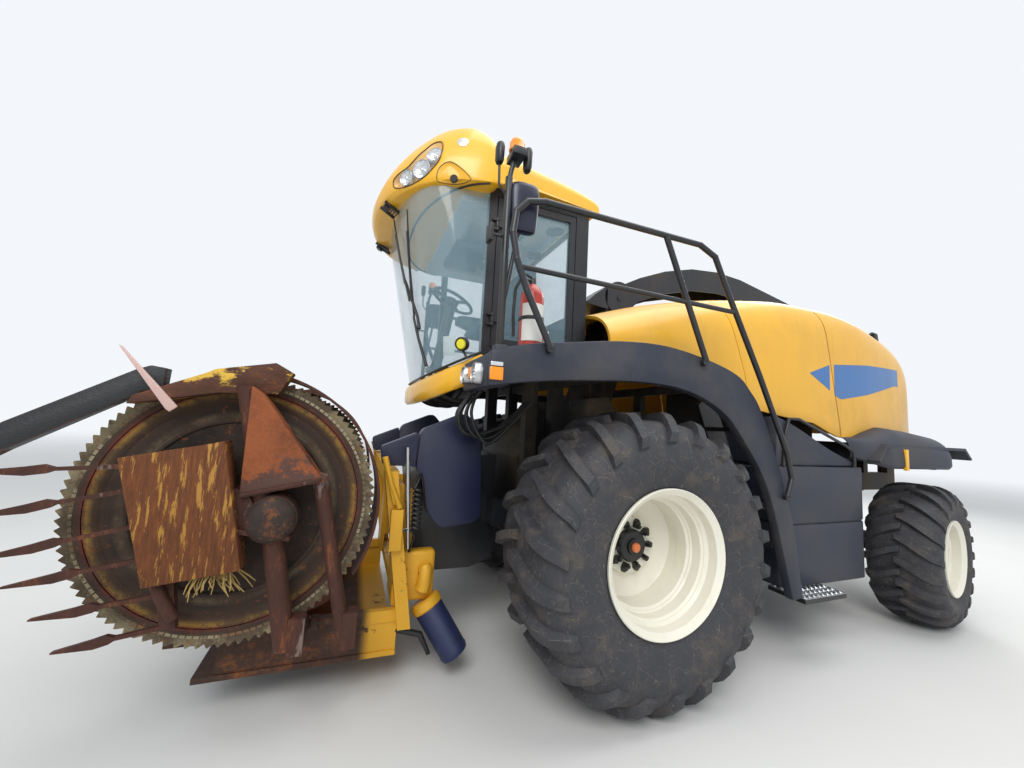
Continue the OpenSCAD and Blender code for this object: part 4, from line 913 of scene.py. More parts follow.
class HARVESTER_OT_screen(bpy.types.Operator):
    """Curved windscreen, the yellow nose below it, wipers and the rubber round it"""
    bl_idname = "harvester.screen"
    bl_label = "Windscreen and nose"

    def execute(self, context):
        top = CEILING - 4
        foot = []
        for i, (x, y) in enumerate(screen_line(2100)):
            # The outline moves with the height, so the foot is found in a few rounds
            for _ in range(6):
                x = screen_line(below_screen(x) + 3)[i][0]
            foot.append((x, y, below_screen(x) + 3))
        rows = [foot]
        for t in np.linspace(0, 1, 19)[1:]:
            line = []
            for i, (x, y, z) in enumerate(foot):
                height = z + (top - z) * t
                line.append((screen_line(height)[i][0], y, height))
            rows.append(line)
        Form().grid(rows).done("windscreen_glass", "cab glass", replaces=["windscreen"], wall=0.006, sharp=60)
        gasket = [(x + 1, y * 1.001, z + 4) for x, y, z in foot[1:-1]]
        Form().tube(gasket, 9, 8).done("screen_gasket", "black trim", sharp=60)
        # Nose: a bowed band under the screen, with its floor
        bands = [(10, 398, 872), (24, 420, 888), (60, 429, 894), (110, 430, 895), (150, 426, 890), (180, 408, 874),
                 (190, 380, 850), (186, 340, 800)]
        rows = []
        for drop, a, b in bands:
            bow = [(max(SCREEN_BACK, PILLAR_X + x), y) for x, y in nose(a, b, 2.6, 44)]
            line = [(SCREEN_BACK, -b), *bow, (SCREEN_BACK, b)]
            rows.append([(x, y, below_screen(x) - drop) for x, y in line])
        Form().grid(rows).done("cab_nose_band", "roof yellow", replaces=["cab_nose"], wall=0.01, sharp=50)
        # Two wipers over the glass, each an arm that bends to its long blade
        arms = Form()
        wipers = (([(1331, 565, 2060), (1392, 500, 2260), (1437, 449, 2440)], [(1437, 449, 2440), (1565, 584, 3200)]),
                  ([(1402, 560, 2330), (1418, 525, 2430), (1510, 376, 2730)], [(1480, 440, 2560), (1634, 253, 3260)]))
        for path, blade in wipers:
            arms.tube([Vector(p) + Vector((20, 8, 0)) for p in path], [13, 11, 9], 10)
            a, b = (Vector(p) + Vector((14, 6, 0)) for p in blade)
            arms.tube([a, a.lerp(b, 0.5) + Vector((12, 6, 0)), b], [8, 9, 5], 8)
            arms.tube([a.lerp(b, 0.2) + Vector((14, 4, 0)), a.lerp(b, 0.8) + Vector((14, 4, 0))], 6, 6)
        arms.done("wipers", "black trim")
        return {"FINISHED"}


ROOF_TOP = [(0, 3622), (180, 3630), (330, 3676), (500, 3786), (640, 3846), (700, 3850), (760, 3842), (880, 3768),
            (960, 3640), (1000, 3470)]
ROOF_LOW = [(0, 3290), (500, 3292), (950, 3322), (1000, 3362)]
ROOF_SIDE = [(1000, 3378), (1100, 3308), (1400, 3286), (1700, 3282), (1780, 3310), (1808, 3380), (1808, 3460),
             (1760, 3560), (1640, 3690), (1480, 3798), (1320, 3848), (1180, 3828), (1080, 3756), (1010, 3660),
             (900, 3616), (650, 3596), (400, 3568), (200, 3520), (140, 3478), (130, 3440), (132, 3384)]
ROOF_LINE = spline(ROOF_SIDE, 12)
# Borders on the visor: share of the half width times the border scale, and place along the outline
BORDER_SCALE = 28
RECESS = closed([(16.4, 21), (17.6, 22), (20.2, 23.25), (21.8, 27.75), (22.5, 30.25), (23.7, 30.5), (24.6, 27.75),
                 (24.6, 23), (23.2, 18), (21.1, 16), (18.8, 16), (16.4, 18)])
DISH = closed([(24.3, 15.5), (24.8, 20.5), (25.7, 24), (26.5, 22.5), (27.05, 18), (27.1, 13.5), (26.6, 11), (25.6, 10),
               (24.6, 10.5), (24.1, 12.5)])
REFLECTORS = [(0.85, 26.75, 57), (0.80, 21.25, 65), (0.695, 19.5, 54)]


def roof_at(q, i):
    """Points of the round roof at q half widths from the middle and place i along its side outline"""
    q, i = np.broadcast_arrays(np.asarray(q, float), np.asarray(i, float))
    x, z = (np.interp(i, np.arange(len(ROOF_LINE)) / 3, ROOF_LINE[:, k]) for k in (0, 1))
    away = np.minimum(1.0, abs(q))
    visor = smooth((x - 880) / 220)
    low = follow(ROOF_LOW, away * 1000)
    crest = (follow(ROOF_TOP, away * 1000) - low) / 560
    base = 3380 - 90 * visor
    lifted = base + (z - base) * (visor * crest + (1 - visor) * (1 - away ** 7) ** (1 / 7)) + visor * (low - 3290)
    forward = np.where(x < 950, x, 950 + (x - 950) * (1 - away ** 2.3) ** (1 / 2.3))
    return np.stack([forward, q * np.interp(x, [130, 700, 950], [898, 955, 998]), lifted], -1)


def roof_out(q, i):
    """Outward normals of the round roof"""
    n = np.cross(roof_at(q + 0.002, i) - roof_at(q - 0.002, i), roof_at(q, i + 0.1) - roof_at(q, i - 0.1))
    return n / (np.linalg.norm(n, axis=-1, keepdims=True) + 1e-9)


def roof_patch(border, centre, depth, share):
    """Rows of points from a centre out to a border on the visor, sunk by a depth"""
    rows = []
    for t in np.linspace(0.02, share, 12):
        q, i = (np.array(centre) + (border - centre) * t).T
        q = q / BORDER_SCALE
        rows.append(roof_at(q, i) - roof_out(q, i) * depth)
    return rows


class HARVESTER_OT_roof(bpy.types.Operator):
    """Roof with its two-lobed visor, the recesses in it and its lamps"""
    bl_idname = "harvester.roof"
    bl_label = "Roof and visor"

    def execute(self, context):
        q, i = np.meshgrid(np.sin(np.linspace(-math.pi / 2, math.pi / 2, 181)), np.arange(len(ROOF_LINE)) / 3,
                           indexing="ij")
        u = abs(q) * BORDER_SCALE
        recess = inside(RECESS, u, i)
        depth = 40 * smooth(recess / 1.0 + 0.2) + 14 * smooth(inside(DISH, u, i) / 0.7 + 0.2)
        rows = roof_at(q, i) - roof_out(q, i) * depth[..., None]
        dark = np.zeros((180, len(ROOF_LINE)), int)
        dark[:, :-1] = (recess[:-1, :-1] + recess[1:, 1:]) / 2 > 0.45
        form = Form().grid(rows.tolist(), loop=True, cap=True)
        form.done("cab_roof_skin", "roof yellow", replaces=["cab_roof"], sharp=60, second="black trim",
                  marked=[*dark.ravel().tolist(), 0, 0])
        # Black tube along the visor's lower edge, painted shade of the visor's dark underside
        underside_shade = roof_at(np.linspace(-0.985, 0.985, 61), 9.0) + (0, 0, -3)
        Form().tube(underside_shade.tolist(), 8, 8).done("visor_seal", "black trim")
        for s, side in each_side():
            self.lamps(s, side)
        return {"FINISHED"}

    def lamps(self, s, side):
        def stand(q, i, out=0.0):
            p, normal = Vector(roof_at(q, i)), Vector(roof_out(q, i))
            across = Vector(roof_at(q + 0.02, i) - roof_at(q - 0.02, i)).normalized()
            up = normal.cross(across).normalized()
            return Matrix.Translation(p + normal * out) @ Matrix((across, up, normal)).transposed().to_4x4()

        bowls, rings = Form(), Form()
        for q, i, r in REFLECTORS:
            m = stand(q, i, -34)
            rings.add(Form().lathe([(r - 2, 4), (r + 5, 4), (r + 5, 24), (r, 30), (r - 4, 26)], (0, 0, 0), "Z", 48), m)
            bowls.add(Form().lathe([(0, -2), (r * 0.3, 0), (r * 0.6, 6), (r * 0.85, 16), (r - 2, 26), (r + 1, 24),
                                    (r * 0.8, 6), (0, -8)], (0, 0, 0), "Z", 48, closed=False), m)
            bowls.add(Form().lathe([(0, 26), (9, 25), (13, 16), (13, 0)], (0, 0, 0), "Z", 24, closed=False), m)
        sided(bowls, s).done(f"visor_reflectors_{side}", "reflector", replaces=["roof_lamps"], sharp=60)
        sided(rings, s).done(f"visor_lamp_rings_{side}", "bright steel", sharp=50)
        cover = Form().grid(roof_patch(RECESS, (22, 21), 1, 0.97), loop=True)
        sided(cover, s).done(f"visor_cover_{side}", "clear cover", wall=0.003, sharp=70)
        # Edge of the recess, a thin black line round the dish that paints the shadow outline of its dent edge, and the
        # dish's hole
        lines = Form()
        for border, depth in ((RECESS, 0), (DISH, 3)):
            q, i = np.vstack([border, border[:1]]).T
            q = q / BORDER_SCALE
            lines.tube((roof_at(q, i) - roof_out(q, i) * depth).tolist(), 3, 8)
        hole = Form().lathe([(0, 4), (22, 4), (27, 0), (27, -10)], (0, 0, 0), "Z", 28, closed=False)
        lines.add(hole, stand(0.927, 15, -13))
        sided(lines, s).done(f"visor_lines_{side}", "black trim")
        lamp = Form().lathe([(0, 8), (30, 6), (40, 2), (43, -8)], (0, 0, 0), "Z", 32, closed=False)
        sided(Form().add(lamp, stand(0.92, 32.25, 2)), s).done(f"visor_lamp_{side}", "reflector")
        # Small slatted bracket under the visor's front, with a box lamp
        bracket = Form().box((-34, -20, -6), (34, 20, 34))
        for k in range(4):
            bracket.box((-60, -92 + 20 * k, -4), (44, -86 + 20 * k, 16))
        bracket.box((-64, -96, -6), (-56, 30, 18)).box((40, -96, -6), (48, 30, 18))
        bracket = Form().add(bracket, stand(0.40, 14.2, 2))
        sided(bracket, s).done(f"visor_bracket_{side}", "black trim")


# Cab details

class HARVESTER_OT_cab_details(bpy.types.Operator):
    """Mirrors, beacons, extinguisher, corner lamps and what shows through the glass"""
    bl_idname = "harvester.cab_details"
    bl_label = "Cab details"

    def execute(self, context):
        for s, side in each_side():
            self.mirror(s, side)
            self.lamps(s, side)
        self.extinguisher()
        self.inside()
        return {"FINISHED"}

    def mirror(self, s, side):
        x, y = 1080, 1400
        post = Form().tube([(x, y, 2112), (x, y, 3120)], 22, 18).tube([(x, y, 2300), (x - 80, y, 2830)], 13, 12)
        post.tube([(x, y, 3090), (x - 12, y, 3170), (x - 40, y, 3270)], 15, 12)
        post.box((x - 80, y - 66, 3240), (x, y + 66, 3288))
        post.tube([(x + 6, y, 3000), (x + 60, y, 3060), (x + 66, y, 3200)], 8, 8)
        post.tube([(x - 4, y, 2750), (x + 90, y, 2752)], 9, 8)
        sided(post, s).done(f"mirror_{side}_post", "black paint", replaces=[f"mirror_{side}"], edge=0.003, sharp=45)
        rows = []
        for z, k in ((2800, 0.0), (2800, 0.62), (2806, 0.78), (2826, 0.86), (2900, 0.93), (3030, 1.0), (3070, 0.98),
                     (3092, 0.86), (3100, 0.66), (3100, 0.0)):
            rows.append([(975 + 92 * k * math.copysign(abs(math.cos(a)) ** 0.7, math.cos(a)),
                          y + 40 * k * math.copysign(abs(math.sin(a)) ** 0.7, math.sin(a)), z)
                         for a in np.linspace(0, 2 * math.pi, 40, endpoint=False)])
        sided(Form().grid(rows, loop=True), s).done(f"mirror_{side}_head", "mirror blue", sharp=50)
        # Small mirror and two lamp shells beside the beacon
        shells = Form().box((x + 84, y - 30, 2700), (x + 112, y + 40, 2800))
        for cx, z0, z1, w in ((x + 66, 3190, 3318, 27), (x - 112, 3186, 3334, 27)):
            shells.grid([[(cx + w * k * math.cos(a), y + 1.4 * w * k * math.sin(a), z)
                          for a in np.linspace(0, 2 * math.pi, 20, endpoint=False)]
                         for z, k in ((z0, 0.0), (z0, 0.7), (z0 + 20, 0.95), (z1 - 30, 1.0), (z1 - 6, 0.8), (z1, 0.0))],
                        loop=True)
        sided(shells, s).done(f"mirror_{side}_shells", "black trim", edge=0.004, sharp=50)
        beacon = Form().lathe([(0, 3290), (47, 3290), (50, 3300), (46, 3306), (46, 3340), (38, 3360), (20, 3372),
                               (0, 3375)], (x - 40, y, 0), "Z", 40, closed=False)
        sided(beacon, s).done(f"beacon_{side}", "orange lens", sharp=60)

    def lamps(self, s, side):
        mid_y, mid_z = 1292, 1951

        def oval(levels):
            """Rows round the oval lamp: place along X and share of its size"""
            return [[(x, mid_y + 47 * a * math.cos(t), mid_z + 58 * a * math.sin(t))
                     for t in np.linspace(0, 2 * math.pi, 40, endpoint=False)] for x, a in levels]

        # Round lamp and orange box of the frame, then the oval lamp beside them with bars over its glass
        glass = Form().lathe([(0, 1198), (30, 1196), (47, 1186), (49, 1152), (0, 1152)], (0, 1060, 1960), "X", 40,
                             closed=False)
        glass.grid(oval([(1152, 0.0), (1152, 0.95), (1176, 0.92), (1186, 0.82), (1191, 0.5), (1192, 0.0)]), loop=True)
        sided(glass, s).done(f"corner_lamp_glass_{side}", "reflector", replaces=["corner_lamps"], sharp=60)
        rows = oval([(1151, 1.0), (1151, 1.14), (1188, 1.12), (1196, 1.04), (1190, 0.97), (1176, 0.96)])
        shell = Form().grid([*rows, rows[0]], loop=True)
        shell.lathe([(50, 1151), (56, 1151), (56, 1190), (52, 1199), (48, 1190)], (0, 1060, 1960), "X", 40)
        for z in range(mid_z - 50, mid_z + 51, 20):
            wide = 47 * math.sqrt(max(0.05, 1 - ((z - mid_z) / 60) ** 2))
            shell.tube([(1192, mid_y - wide, z), (1199, mid_y, z), (1192, mid_y + wide, z)], 2.2, 6)
        sided(shell, s).done(f"corner_lamp_rings_{side}", "bright steel", sharp=50)
        turn = Form().box((1151, 1181, 1926), (1198, 1227, 1994)).box((1070, 1449, 1905), (1148, 1466, 1978))
        sided(turn, s).done(f"turn_lamp_{side}", "orange lens", edge=0.006)
        white = Form().box((1074, 1452, 1982), (1144, 1466, 2006))
        sided(white, s).done(f"side_lamp_{side}", "reflector", edge=0.004)

    def extinguisher(self):
        x, y = 850, 1300
        body = Form().lathe([(0, 2102), (60, 2102), (71, 2110), (74, 2124), (74, 2440), (70, 2470), (54, 2500),
                             (30, 2524), (24, 2534), (0, 2534)], (x, y, 0), "Z", 64, closed=False)
        body.done("extinguisher_body", "red paint", replaces=["extinguisher"], sharp=50)
        label = []
        for z in (2170, 2400):
            label.append([(x + 75.5 * math.cos(a), y + 75.5 * math.sin(a), z) for a in np.linspace(0.35, 2.5, 30)])
        Form().grid(label).done("extinguisher_label", "blank label", wall=0.0012, sharp=60)
        valve = Form().lathe([(0, 2534), (22, 2534), (22, 2570), (14, 2580), (0, 2582)], (x, y, 0), "Z", 24,
                             closed=False)
        valve.tube([(x - 16, y, 2572), (x + 66, y + 6, 2596)], [7, 9], 8)
        valve.tube([(x + 18, y + 8, 2556), (x + 92, y + 30, 2548), (x + 126, y + 34, 2480), (x + 132, y + 30, 2330),
                    (x + 120, y + 20, 2190)], 10, 10)
        valve.lathe([(75, 2300), (79, 2302), (79, 2322), (75, 2324)], (x, y, 0), "Z", 48)
        valve.done("extinguisher_valve", "black trim", sharp=50)
        rest = Form().box((x - 96, y - 60, 2100), (x - 78, y + 60, 2240))
        rest.box((x - 180, y - 30, 2100), (x - 90, y + 30, 2112)).done("extinguisher_rest", "cream paint", edge=0.003)

    def inside(self):
        # Speakers and vents in the headliner, a blank card and a yellow work lamp
        dark, pale = Form(), Form()
        for s in (1, -1):
            for x, y, r in ((405, 679, 70), (354, 174, 70)):
                dark.lathe([(0, 3254), (r, 3254), (r + 6, 3258), (r + 6, 3262)], (x, y * s, 0), "Z", 36, closed=False)
        dark.box((790, -380, 3206), (1110, 170, 3262)).box((560, 300, 3304), (700, 520, 3324))
        dark.box((560, -520, 3304), (700, -300, 3324))
        dark.done("headliner_speakers", "grey lining", edge=0.01, sharp=50)
        card = [(1276, 738, 2260), (1211, 805, 2260), (1197, 792, 2125), (1262, 719, 2125)]
        pale.grid([card, [(x - 3, y - 3, z) for x, y, z in card]], loop=True, cap=True)
        pale.done("blank_card", "blank label", edge=0.001)
        lamp = Form().lathe([(0, 24), (30, 22), (38, 12), (40, -16), (20, -34), (0, -36)], (0, 0, 0), "Z", 28,
                            closed=False)
        turn = Vector((0.66, 0.72, -0.2)).to_track_quat("Z", "Y").to_matrix().to_4x4()
        place = Matrix.Translation((1185, 940, 2182)) @ turn
        Form().add(lamp, place).done("work_lamp", "lamp yellow")
        shell = Form().lathe([(38, -20), (46, -18), (47, 14), (42, 24), (38, 20)], (0, 0, 0), "Z", 32)
        shell = Form().add(shell, place).tube([(1170, 925, 2140), (1146, 940, 2092)], 9, 8)
        shell.done("work_lamp_rim", "black trim")


class HARVESTER_OT_seat(bpy.types.Operator):
    """Driver's seat: two stuffed cushions, the bellows below them and the arm console"""
    bl_idname = "harvester.seat"
    bl_label = "Driver's seat"

    def execute(self, context):
        piping = Form()
        for name, middle, half, thin in (("seat_cushion", (632, 0, CAB_FLOOR + 361), (246, 258, 60), 2),
                                         ("seat_back", (391, 0, CAB_FLOOR + 706), (60, 238, 292), 0)):
            form, rim_line = self.cushion(middle, half, thin)
            form.done(name, "seat cloth", replaces=["seat"], sharp=80)
            piping.tube(rim_line, 5, 8)
        piping.done("seat_piping", "black trim", sharp=60)
        rows = [[(595 + (165 - fold) * math.copysign(abs(math.cos(a)) ** 0.4, math.cos(a)),
                  (195 - fold) * math.copysign(abs(math.sin(a)) ** 0.4, math.sin(a)), CAB_FLOOR + height)
                 for a in np.linspace(0, 2 * math.pi, 48, endpoint=False)]
                for height, fold in [(1, 0), *((20 + 28 * k, 16 * (k % 2)) for k in range(10)), (304, 10)]]
        bellows = Form().grid(rows, loop=True, cap=True)
        bellows.done("seat_bellows", "black trim", replaces=["seat"], edge=0.003, sharp=40)
        console = [(x, CAB_FLOOR + z)
                   for x, z in ((524, 384), (700, 384), (954, 472), (954, 540), (900, 558), (524, 552))]
        arm = Form().slab(console, -380, -264).box((524, -300, CAB_FLOOR + 384), (698, -250, CAB_FLOOR + 418))
        arm.done("seat_console", "grey lining", edge=0.012, sharp=50)
        return {"FINISHED"}

    def cushion(self, middle, half, thin):
        """A stuffed form with two sewn channels on its upper or front face, and the line round its seam"""
        s, t = np.meshgrid(*[np.sin(np.linspace(-math.pi / 2, math.pi / 2, 61))] * 2, indexing="ij")
        a, b = [k for k in range(3) if k != thin]
        full = ((1 - s ** 8) * (1 - t ** 8)) ** 0.28 * (1 - 0.09 * (s ** 2 + t ** 2))
        sewn = 0.16 * np.exp(-((abs(t) - 0.5) / 0.035) ** 2) * (1 - s ** 8)
        p = np.zeros((2, *s.shape, 3))
        p[..., a] = half[a] * s * (1 - 0.03 * (1 - t ** 2))
        p[..., b] = half[b] * t * (1 - 0.03 * (1 - s ** 2))
        p[0, ..., thin], p[1, ..., thin] = -half[thin] * full, half[thin] * full * (1 - sewn)
        p += middle
        under, over = p.tolist()
        seam = np.concatenate([p[0][0], p[0][1:, -1], p[0][-1, -2::-1], p[0][-2::-1, 0]])
        return Form().grid(under).grid(over), seam.tolist()


# Platforms

STRINGER_TOP = [(1140, 2070), (930, 2130), (620, 2180), (260, 2230), (-80, 2240), (-430, 2190), (-710, 2110),
                (-840, 2010), (-980, 1820), (-1250, 1170), (-1380, 510)]
STRINGER_LOW = [(-1270, 500), (-1030, 1270), (-760, 1660), (-560, 1840), (-270, 1950), (90, 1980), (580, 1950),
                (920, 1910), (1140, 1870)]


class HARVESTER_OT_platforms(bpy.types.Operator):
    """Platforms over the front wheels, with the arch stringers"""
    bl_idname = "harvester.platforms"
    bl_label = "Platforms"

    def execute(self, context):
        edge = context.scene.harvester_sizes.panel_edge
        arch = [tuple(p) for p in spline(STRINGER_TOP, 5)] + [tuple(p) for p in spline(STRINGER_LOW, 5)]
        form = Form().slab(arch, 1380, 1450)
        form.box((-700, 1160, DECK_Z), (160, 1382, DECK_Z + 40)).box((158, 900, DECK_Z), (1000, 1382, DECK_Z + 40))
        form.box((1040, 1380, 2040), (1120, 1448, 2110))
        corner = [(1000, 1890), (1150, 1870), (1150, 2050), (1100, 2085), (960, 2110), (960, 2052), (1000, 2050)]
        form.slab(corner, 900, 1382)
        for s, side in each_side():
            sided(form, s).done(f"platform_{side}_moulding", "dark plastic", replaces=[f"platform_{side}"], edge=edge,
                                sharp=40)
        return {"FINISHED"}


class HARVESTER_OT_tanks(bpy.types.Operator):
    """Side tanks in two mouldings, with the cover that slopes back"""
    bl_idname = "harvester.tanks"
    bl_label = "Side tanks"

    def execute(self, context):
        edge = context.scene.harvester_sizes.panel_edge
        corner = 88

        def outline(inset):
            out = [(-2513 + inset, 622), (-1422 - inset, 622)]
            for cx, a0 in ((-1422 - corner, 0), (-2513 + corner, 90)):
                out += [(cx + (corner - inset) * math.cos(math.radians(a)),
                         1278 - corner + (corner - inset) * math.sin(math.radians(a)))
                        for a in range(a0, a0 + 91, 9)]
            return out

        form = Form().plate(outline(0), 502, 982).plate(outline(0), 992, 1449).plate(outline(9), 978, 996)
        form.both().done("tank_mouldings", "tank plastic", replaces=["side_tanks"], edge=edge * 0.8, sharp=40)
        cover = spline([(-2420, 1481), (-2330, 1511), (-2060, 1600), (-1680, 1759), (-1500, 1822), (-1401, 1849)], 4)
        lid = Form().slab([(-1381, 1451), (-2399, 1451), *map(tuple, cover)], 762, 1253)
        lid.both().done("tank_covers", "dark plastic", edge=edge * 1.6, sharp=40)
        # Rounded flank over the rear wheel, from the hood down to the fender's outer edge
        rows = []
        for x in np.linspace(-2425, -4130, 42):
            end = smooth(min((-2425 - x) / 275, (x + 4130) / 500))
            top = float(np.interp(x, *zip(*LOWER_EDGE))) + 8
            y_in = hood_y(x, top + 30) - 34
            out, drop = 1392 - 180 * (1 - end), 1545 - top
            row = [(x, y_in + (out - y_in) * math.sin(a) ** 0.8, top + drop * (1 - math.cos(a)) ** 1.1)
                   for a in np.linspace(0, math.pi / 2, 12)]
            rows.append([*row, (x, out + 2, 1480 + 60 * (1 - end)), (x, out - 16, 1452 + 80 * (1 - end))])
        Form().grid(rows).both().done("rear_flanks", "dark plastic", wall=0.01, edge=0.003, sharp=50)
        band = Form().box((-2925, 1376, 1440), (-2885, 1402, 1630))
        band.both().done("flank_bands", "roof yellow", edge=0.001)
        # Low grab rail at the cover, and the tread plate of the bottom step with its holes
        rail = Form().tube([(-1452, 1262, 1452), (-1470, 1268, 1700), (-1520, 1268, 1836), (-1640, 1268, 1838),
                            (-2240, 1268, 1640), (-2352, 1268, 1588), (-2372, 1268, 1500), (-2374, 1262, 1452)], 13, 12)
        rail.both().done("tank_rails", "black paint", sharp=50)
        boss = Form().lathe([(6, 0), (20, 0), (17, 7), (9, 7)], (0, 0, 0), "Z", 14)
        tread = Form().box((-1878, 1162, 493), (-1402, 1448, 497))
        for k in range(5):
            for j in range(9):
                tread.add(boss, Matrix.Translation((-1850 + 52 * j, 1190 + 58 * k, 496.5)))
        tread.both().done("step_tread", "bright steel", sharp=40)
        return {"FINISHED"}


# Header

class HARVESTER_OT_drums(bpy.types.Operator):
    """The wings' toothed discs with their rings, and the centre drums"""
    bl_idname = "harvester.drums"
    bl_label = "Toothed discs"

    def execute(self, context):
        teeth = context.scene.harvester_sizes.disc_teeth
        x, z, r = DISC_X, DISC_Z, 695
        rim_line = []
        for k in range(teeth):
            for turn, deep in ((0, 0), (0.12, 1), (0.75, 22)):
                rim_line.append((2 * math.pi * (k + turn) / teeth, r - deep))

        def ring(radius, y):
            return [(x + (radius or q) * math.cos(a), y, z - (radius or q) * math.sin(a)) for a, q in rim_line]

        blade = Form().grid([ring(600, 989), ring(0, 989), ring(0, 999), ring(600, 999), ring(600, 989)], loop=True)
        drum = Form().lathe([(45, 994), (118, 994), (150, 984), (300, 986), (430, 988), (438, 996), (452, 998),
                             (462, 990), (540, 990), (552, 997), (584, 999), (604, 999), (610, 992), (608, 984),
                             (422, 984), (420, 562), (300, 560), (300, 521), (45, 521)], (x, 0, z), "Y", 120)
        # Links of the knife ring stand proud of the disc
        link = Form().box((-7, -12, 0), (7, 12, 5))
        place = Matrix.Translation((x, 997, z)) @ Matrix.Rotation(-math.pi / 2, 4, "X")
        links = Form().add(repeated(link, 132, 640), place)
        for s, side in each_side():
            body = f"wing_drum_{side}"
            sided(blade, s).done(f"saw_ring_{side}", "disc face", body, sharp=30)
            sided(drum, s).done(f"wing_drum_{side}_body", "disc face", body, [f"wing_drum_{side}"], sharp=30)
            sided(links, s).done(f"ring_links_{side}", "tan steel", body, sharp=30)
        return {"FINISHED"}


class HARVESTER_OT_header(bpy.types.Operator):
    """Plates over the folded wings, straw, and the gear between header and machine"""
    bl_idname = "harvester.header"
    bl_label = "Header details"

    def execute(self, context):
        def grown(points, by):
            """An outline moved outward from its middle"""
            p = np.array(points, float)
            away = p - p.mean(0)
            return [tuple(q) for q in p + away / np.linalg.norm(away, axis=1, keepdims=True) * by]

        skid = grown([(2771, 1424), (2501, 1481), (2380, 1512), (2253, 906), (2625, 859)], 3)
        gusset = grown([(2300, 1791), (2244, 1752), (1955, 1352), (1913, 1344), (1922, 1318), (2290, 1240),
                        (2300, 1275)], 2)
        beam = grown([(2805, 1670), (2786, 1711), (2513, 1840), (2473, 1864), (2215, 1922), (2132, 1877), (2190, 1760),
                      (2449, 1750)], 2)
        divider = [(2739, 1859), (2679, 1851), (2684, 1729), (2753, 1734), (3203, 1442), (3690, 1251), (3690, 1275),
                   (3450, 1376), (3218, 1564), (2788, 1838)]
        blade = [(2636, 1640), (2655, 1655), (2862, 1942), (2845, 1935), (2605, 1668)]
        plates = (("skid_skin", skid, 1078, 1203, "skid plate"), ("gusset_skin", gusset, 1048, 1172, "gusset rust"),
                  ("beam_skin", beam, 1018, 1122, "beam yellow"),
                  ("divider_skin", divider, 1029, 1101, "divider black"),
                  ("guide_blade", blade, 1116, 1128, "blade pink"))
        straw, bars = Form(), Form()
        for k, t in enumerate(np.linspace(0, 1, 34)):
            # Stalks caught under the skid, each with its own lean
            lean, far = math.sin(k * 2.4), math.cos(k * 1.7)
            foot = Vector((2440 - 130 * t + 20 * far, 1120 + 40 * lean, 905 - 12 * t))
            tip = foot + Vector((-60 * t + 50 * lean, 20 + 30 * far, -40 - 78 * abs(math.sin(k * 1.3))))
            straw.tube([foot, foot.lerp(tip, 0.6) + Vector((12 * far, 10, 0)), tip], [4, 3.4, 2], 5)
        bars.tube([(2600, 1140, 868), (2560, 1146, 780), (2505, 1150, 690)], 26, 12)
        for x0, long, climb, y0, y1, z0, z1 in ((2060, 235, 46, 1066, 1176, 1020, 1044),
                                                (1940, 360, -76, 1046, 1180, 1318, 1336)):
            corners = ((y0, z0), (y1, z0), (y1, z1), (y0, z1))
            bars.grid([[(x0 + long * t, y, z + climb * t) for y, z in corners] for t in (0, 1)], loop=True, cap=True)
        bell = Form().lathe([(0, 1220), (50, 1218), (88, 1206), (112, 1180), (118, 1150), (118, 1040)],
                            (2152, 0, 1131), "Y", 56, closed=False)
        for s, side in each_side():
            wing = f"wing_{side}"
            for name, outline, y0, y1, coat in plates:
                sided(Form().slab(outline, y0, y1), s).done(f"{name}_{side}", coat, wing, edge=0.005, sharp=40)
            sided(straw, s).done(f"straw_{side}", "straw", wing)
            sided(bars, s).done(f"skid_bar_{side}", "red brown steel", wing, edge=0.004, sharp=45)
            sided(bell, s).done(f"hub_bell_{side}", "dark steel", wing, sharp=50)
        # Spring, rod and links beside the feed housing, and hoses up to the machine
        coil = [(1378 + 26 * math.cos(t), 790 + 26 * math.sin(t), 1215 - 270 * t / (2 * math.pi * 9))
                for t in np.linspace(0, 2 * math.pi * 9, 200)]
        spring = Form().tube(coil, 9, 10).tube([(1400, 790, 1212), (1378, 780, 1262), (1345, 690, 1300)], 8, 8)
        spring.tube([(1400, 790, 948), (1378, 780, 905), (1400, 720, 785)], 8, 8)
        spring.done("lift_spring", "black trim", "header", sharp=60)
        rod = Form().tube([(1467, 800, 1482), (1444, 800, 1180), (1417, 800, 836)], [15, 17, 9], 14)
        rod.tube([(1428, 800, 960), (1500, 862, 960)], 10, 10).done("lift_rod", "bright steel", "header", sharp=60)
        link = Form().tube([(1608, 860, 1424), (1560, 862, 1260), (1494, 864, 1108)], [20, 15, 20], 12)
        link.tube([(1588, 862, 1330), (1530, 862, 1130)], 10, 10).box((1470, 842, 850), (1545, 880, 1100))
        link.both().done("fold_links", "drive yellow", "header", edge=0.004)
        hoses = Form()
        for k in range(7):
            y, sag = 762 + 22 * k, 40 * math.sin(k * 1.9)
            hoses.tube(spline([(1060, y, 1850 + sag / 2), (1120 + sag, y + 20, 1720), (1060 + sag, y + 10, 1590),
                               (930, y, 1570 + sag), (760, y - 8, 1690), (640, y, 1830)], 6).tolist(), 11, 10)
        hoses.done("hoses", "black trim", sharp=60)
        # Lines clamped under the cab's front
        lines = Form()
        for k in range(9):
            y, low = 540 - 120 * k, 1822 + 18 * math.sin(k * 2.3)
            lines.tube(spline([(1250 - 24 * (k % 3), y, 2052), (1240, y + 12, low + 70), (1120, y + 6, low),
                               (960, y - 16, low + 24), (820, y, 2052)], 6).tolist(), 15 + 4 * (k % 2), 10)
        lines.done("cab_lines", "black trim", sharp=60)
        self.covers()
        self.drive()
        return {"FINISHED"}

    def covers(self):
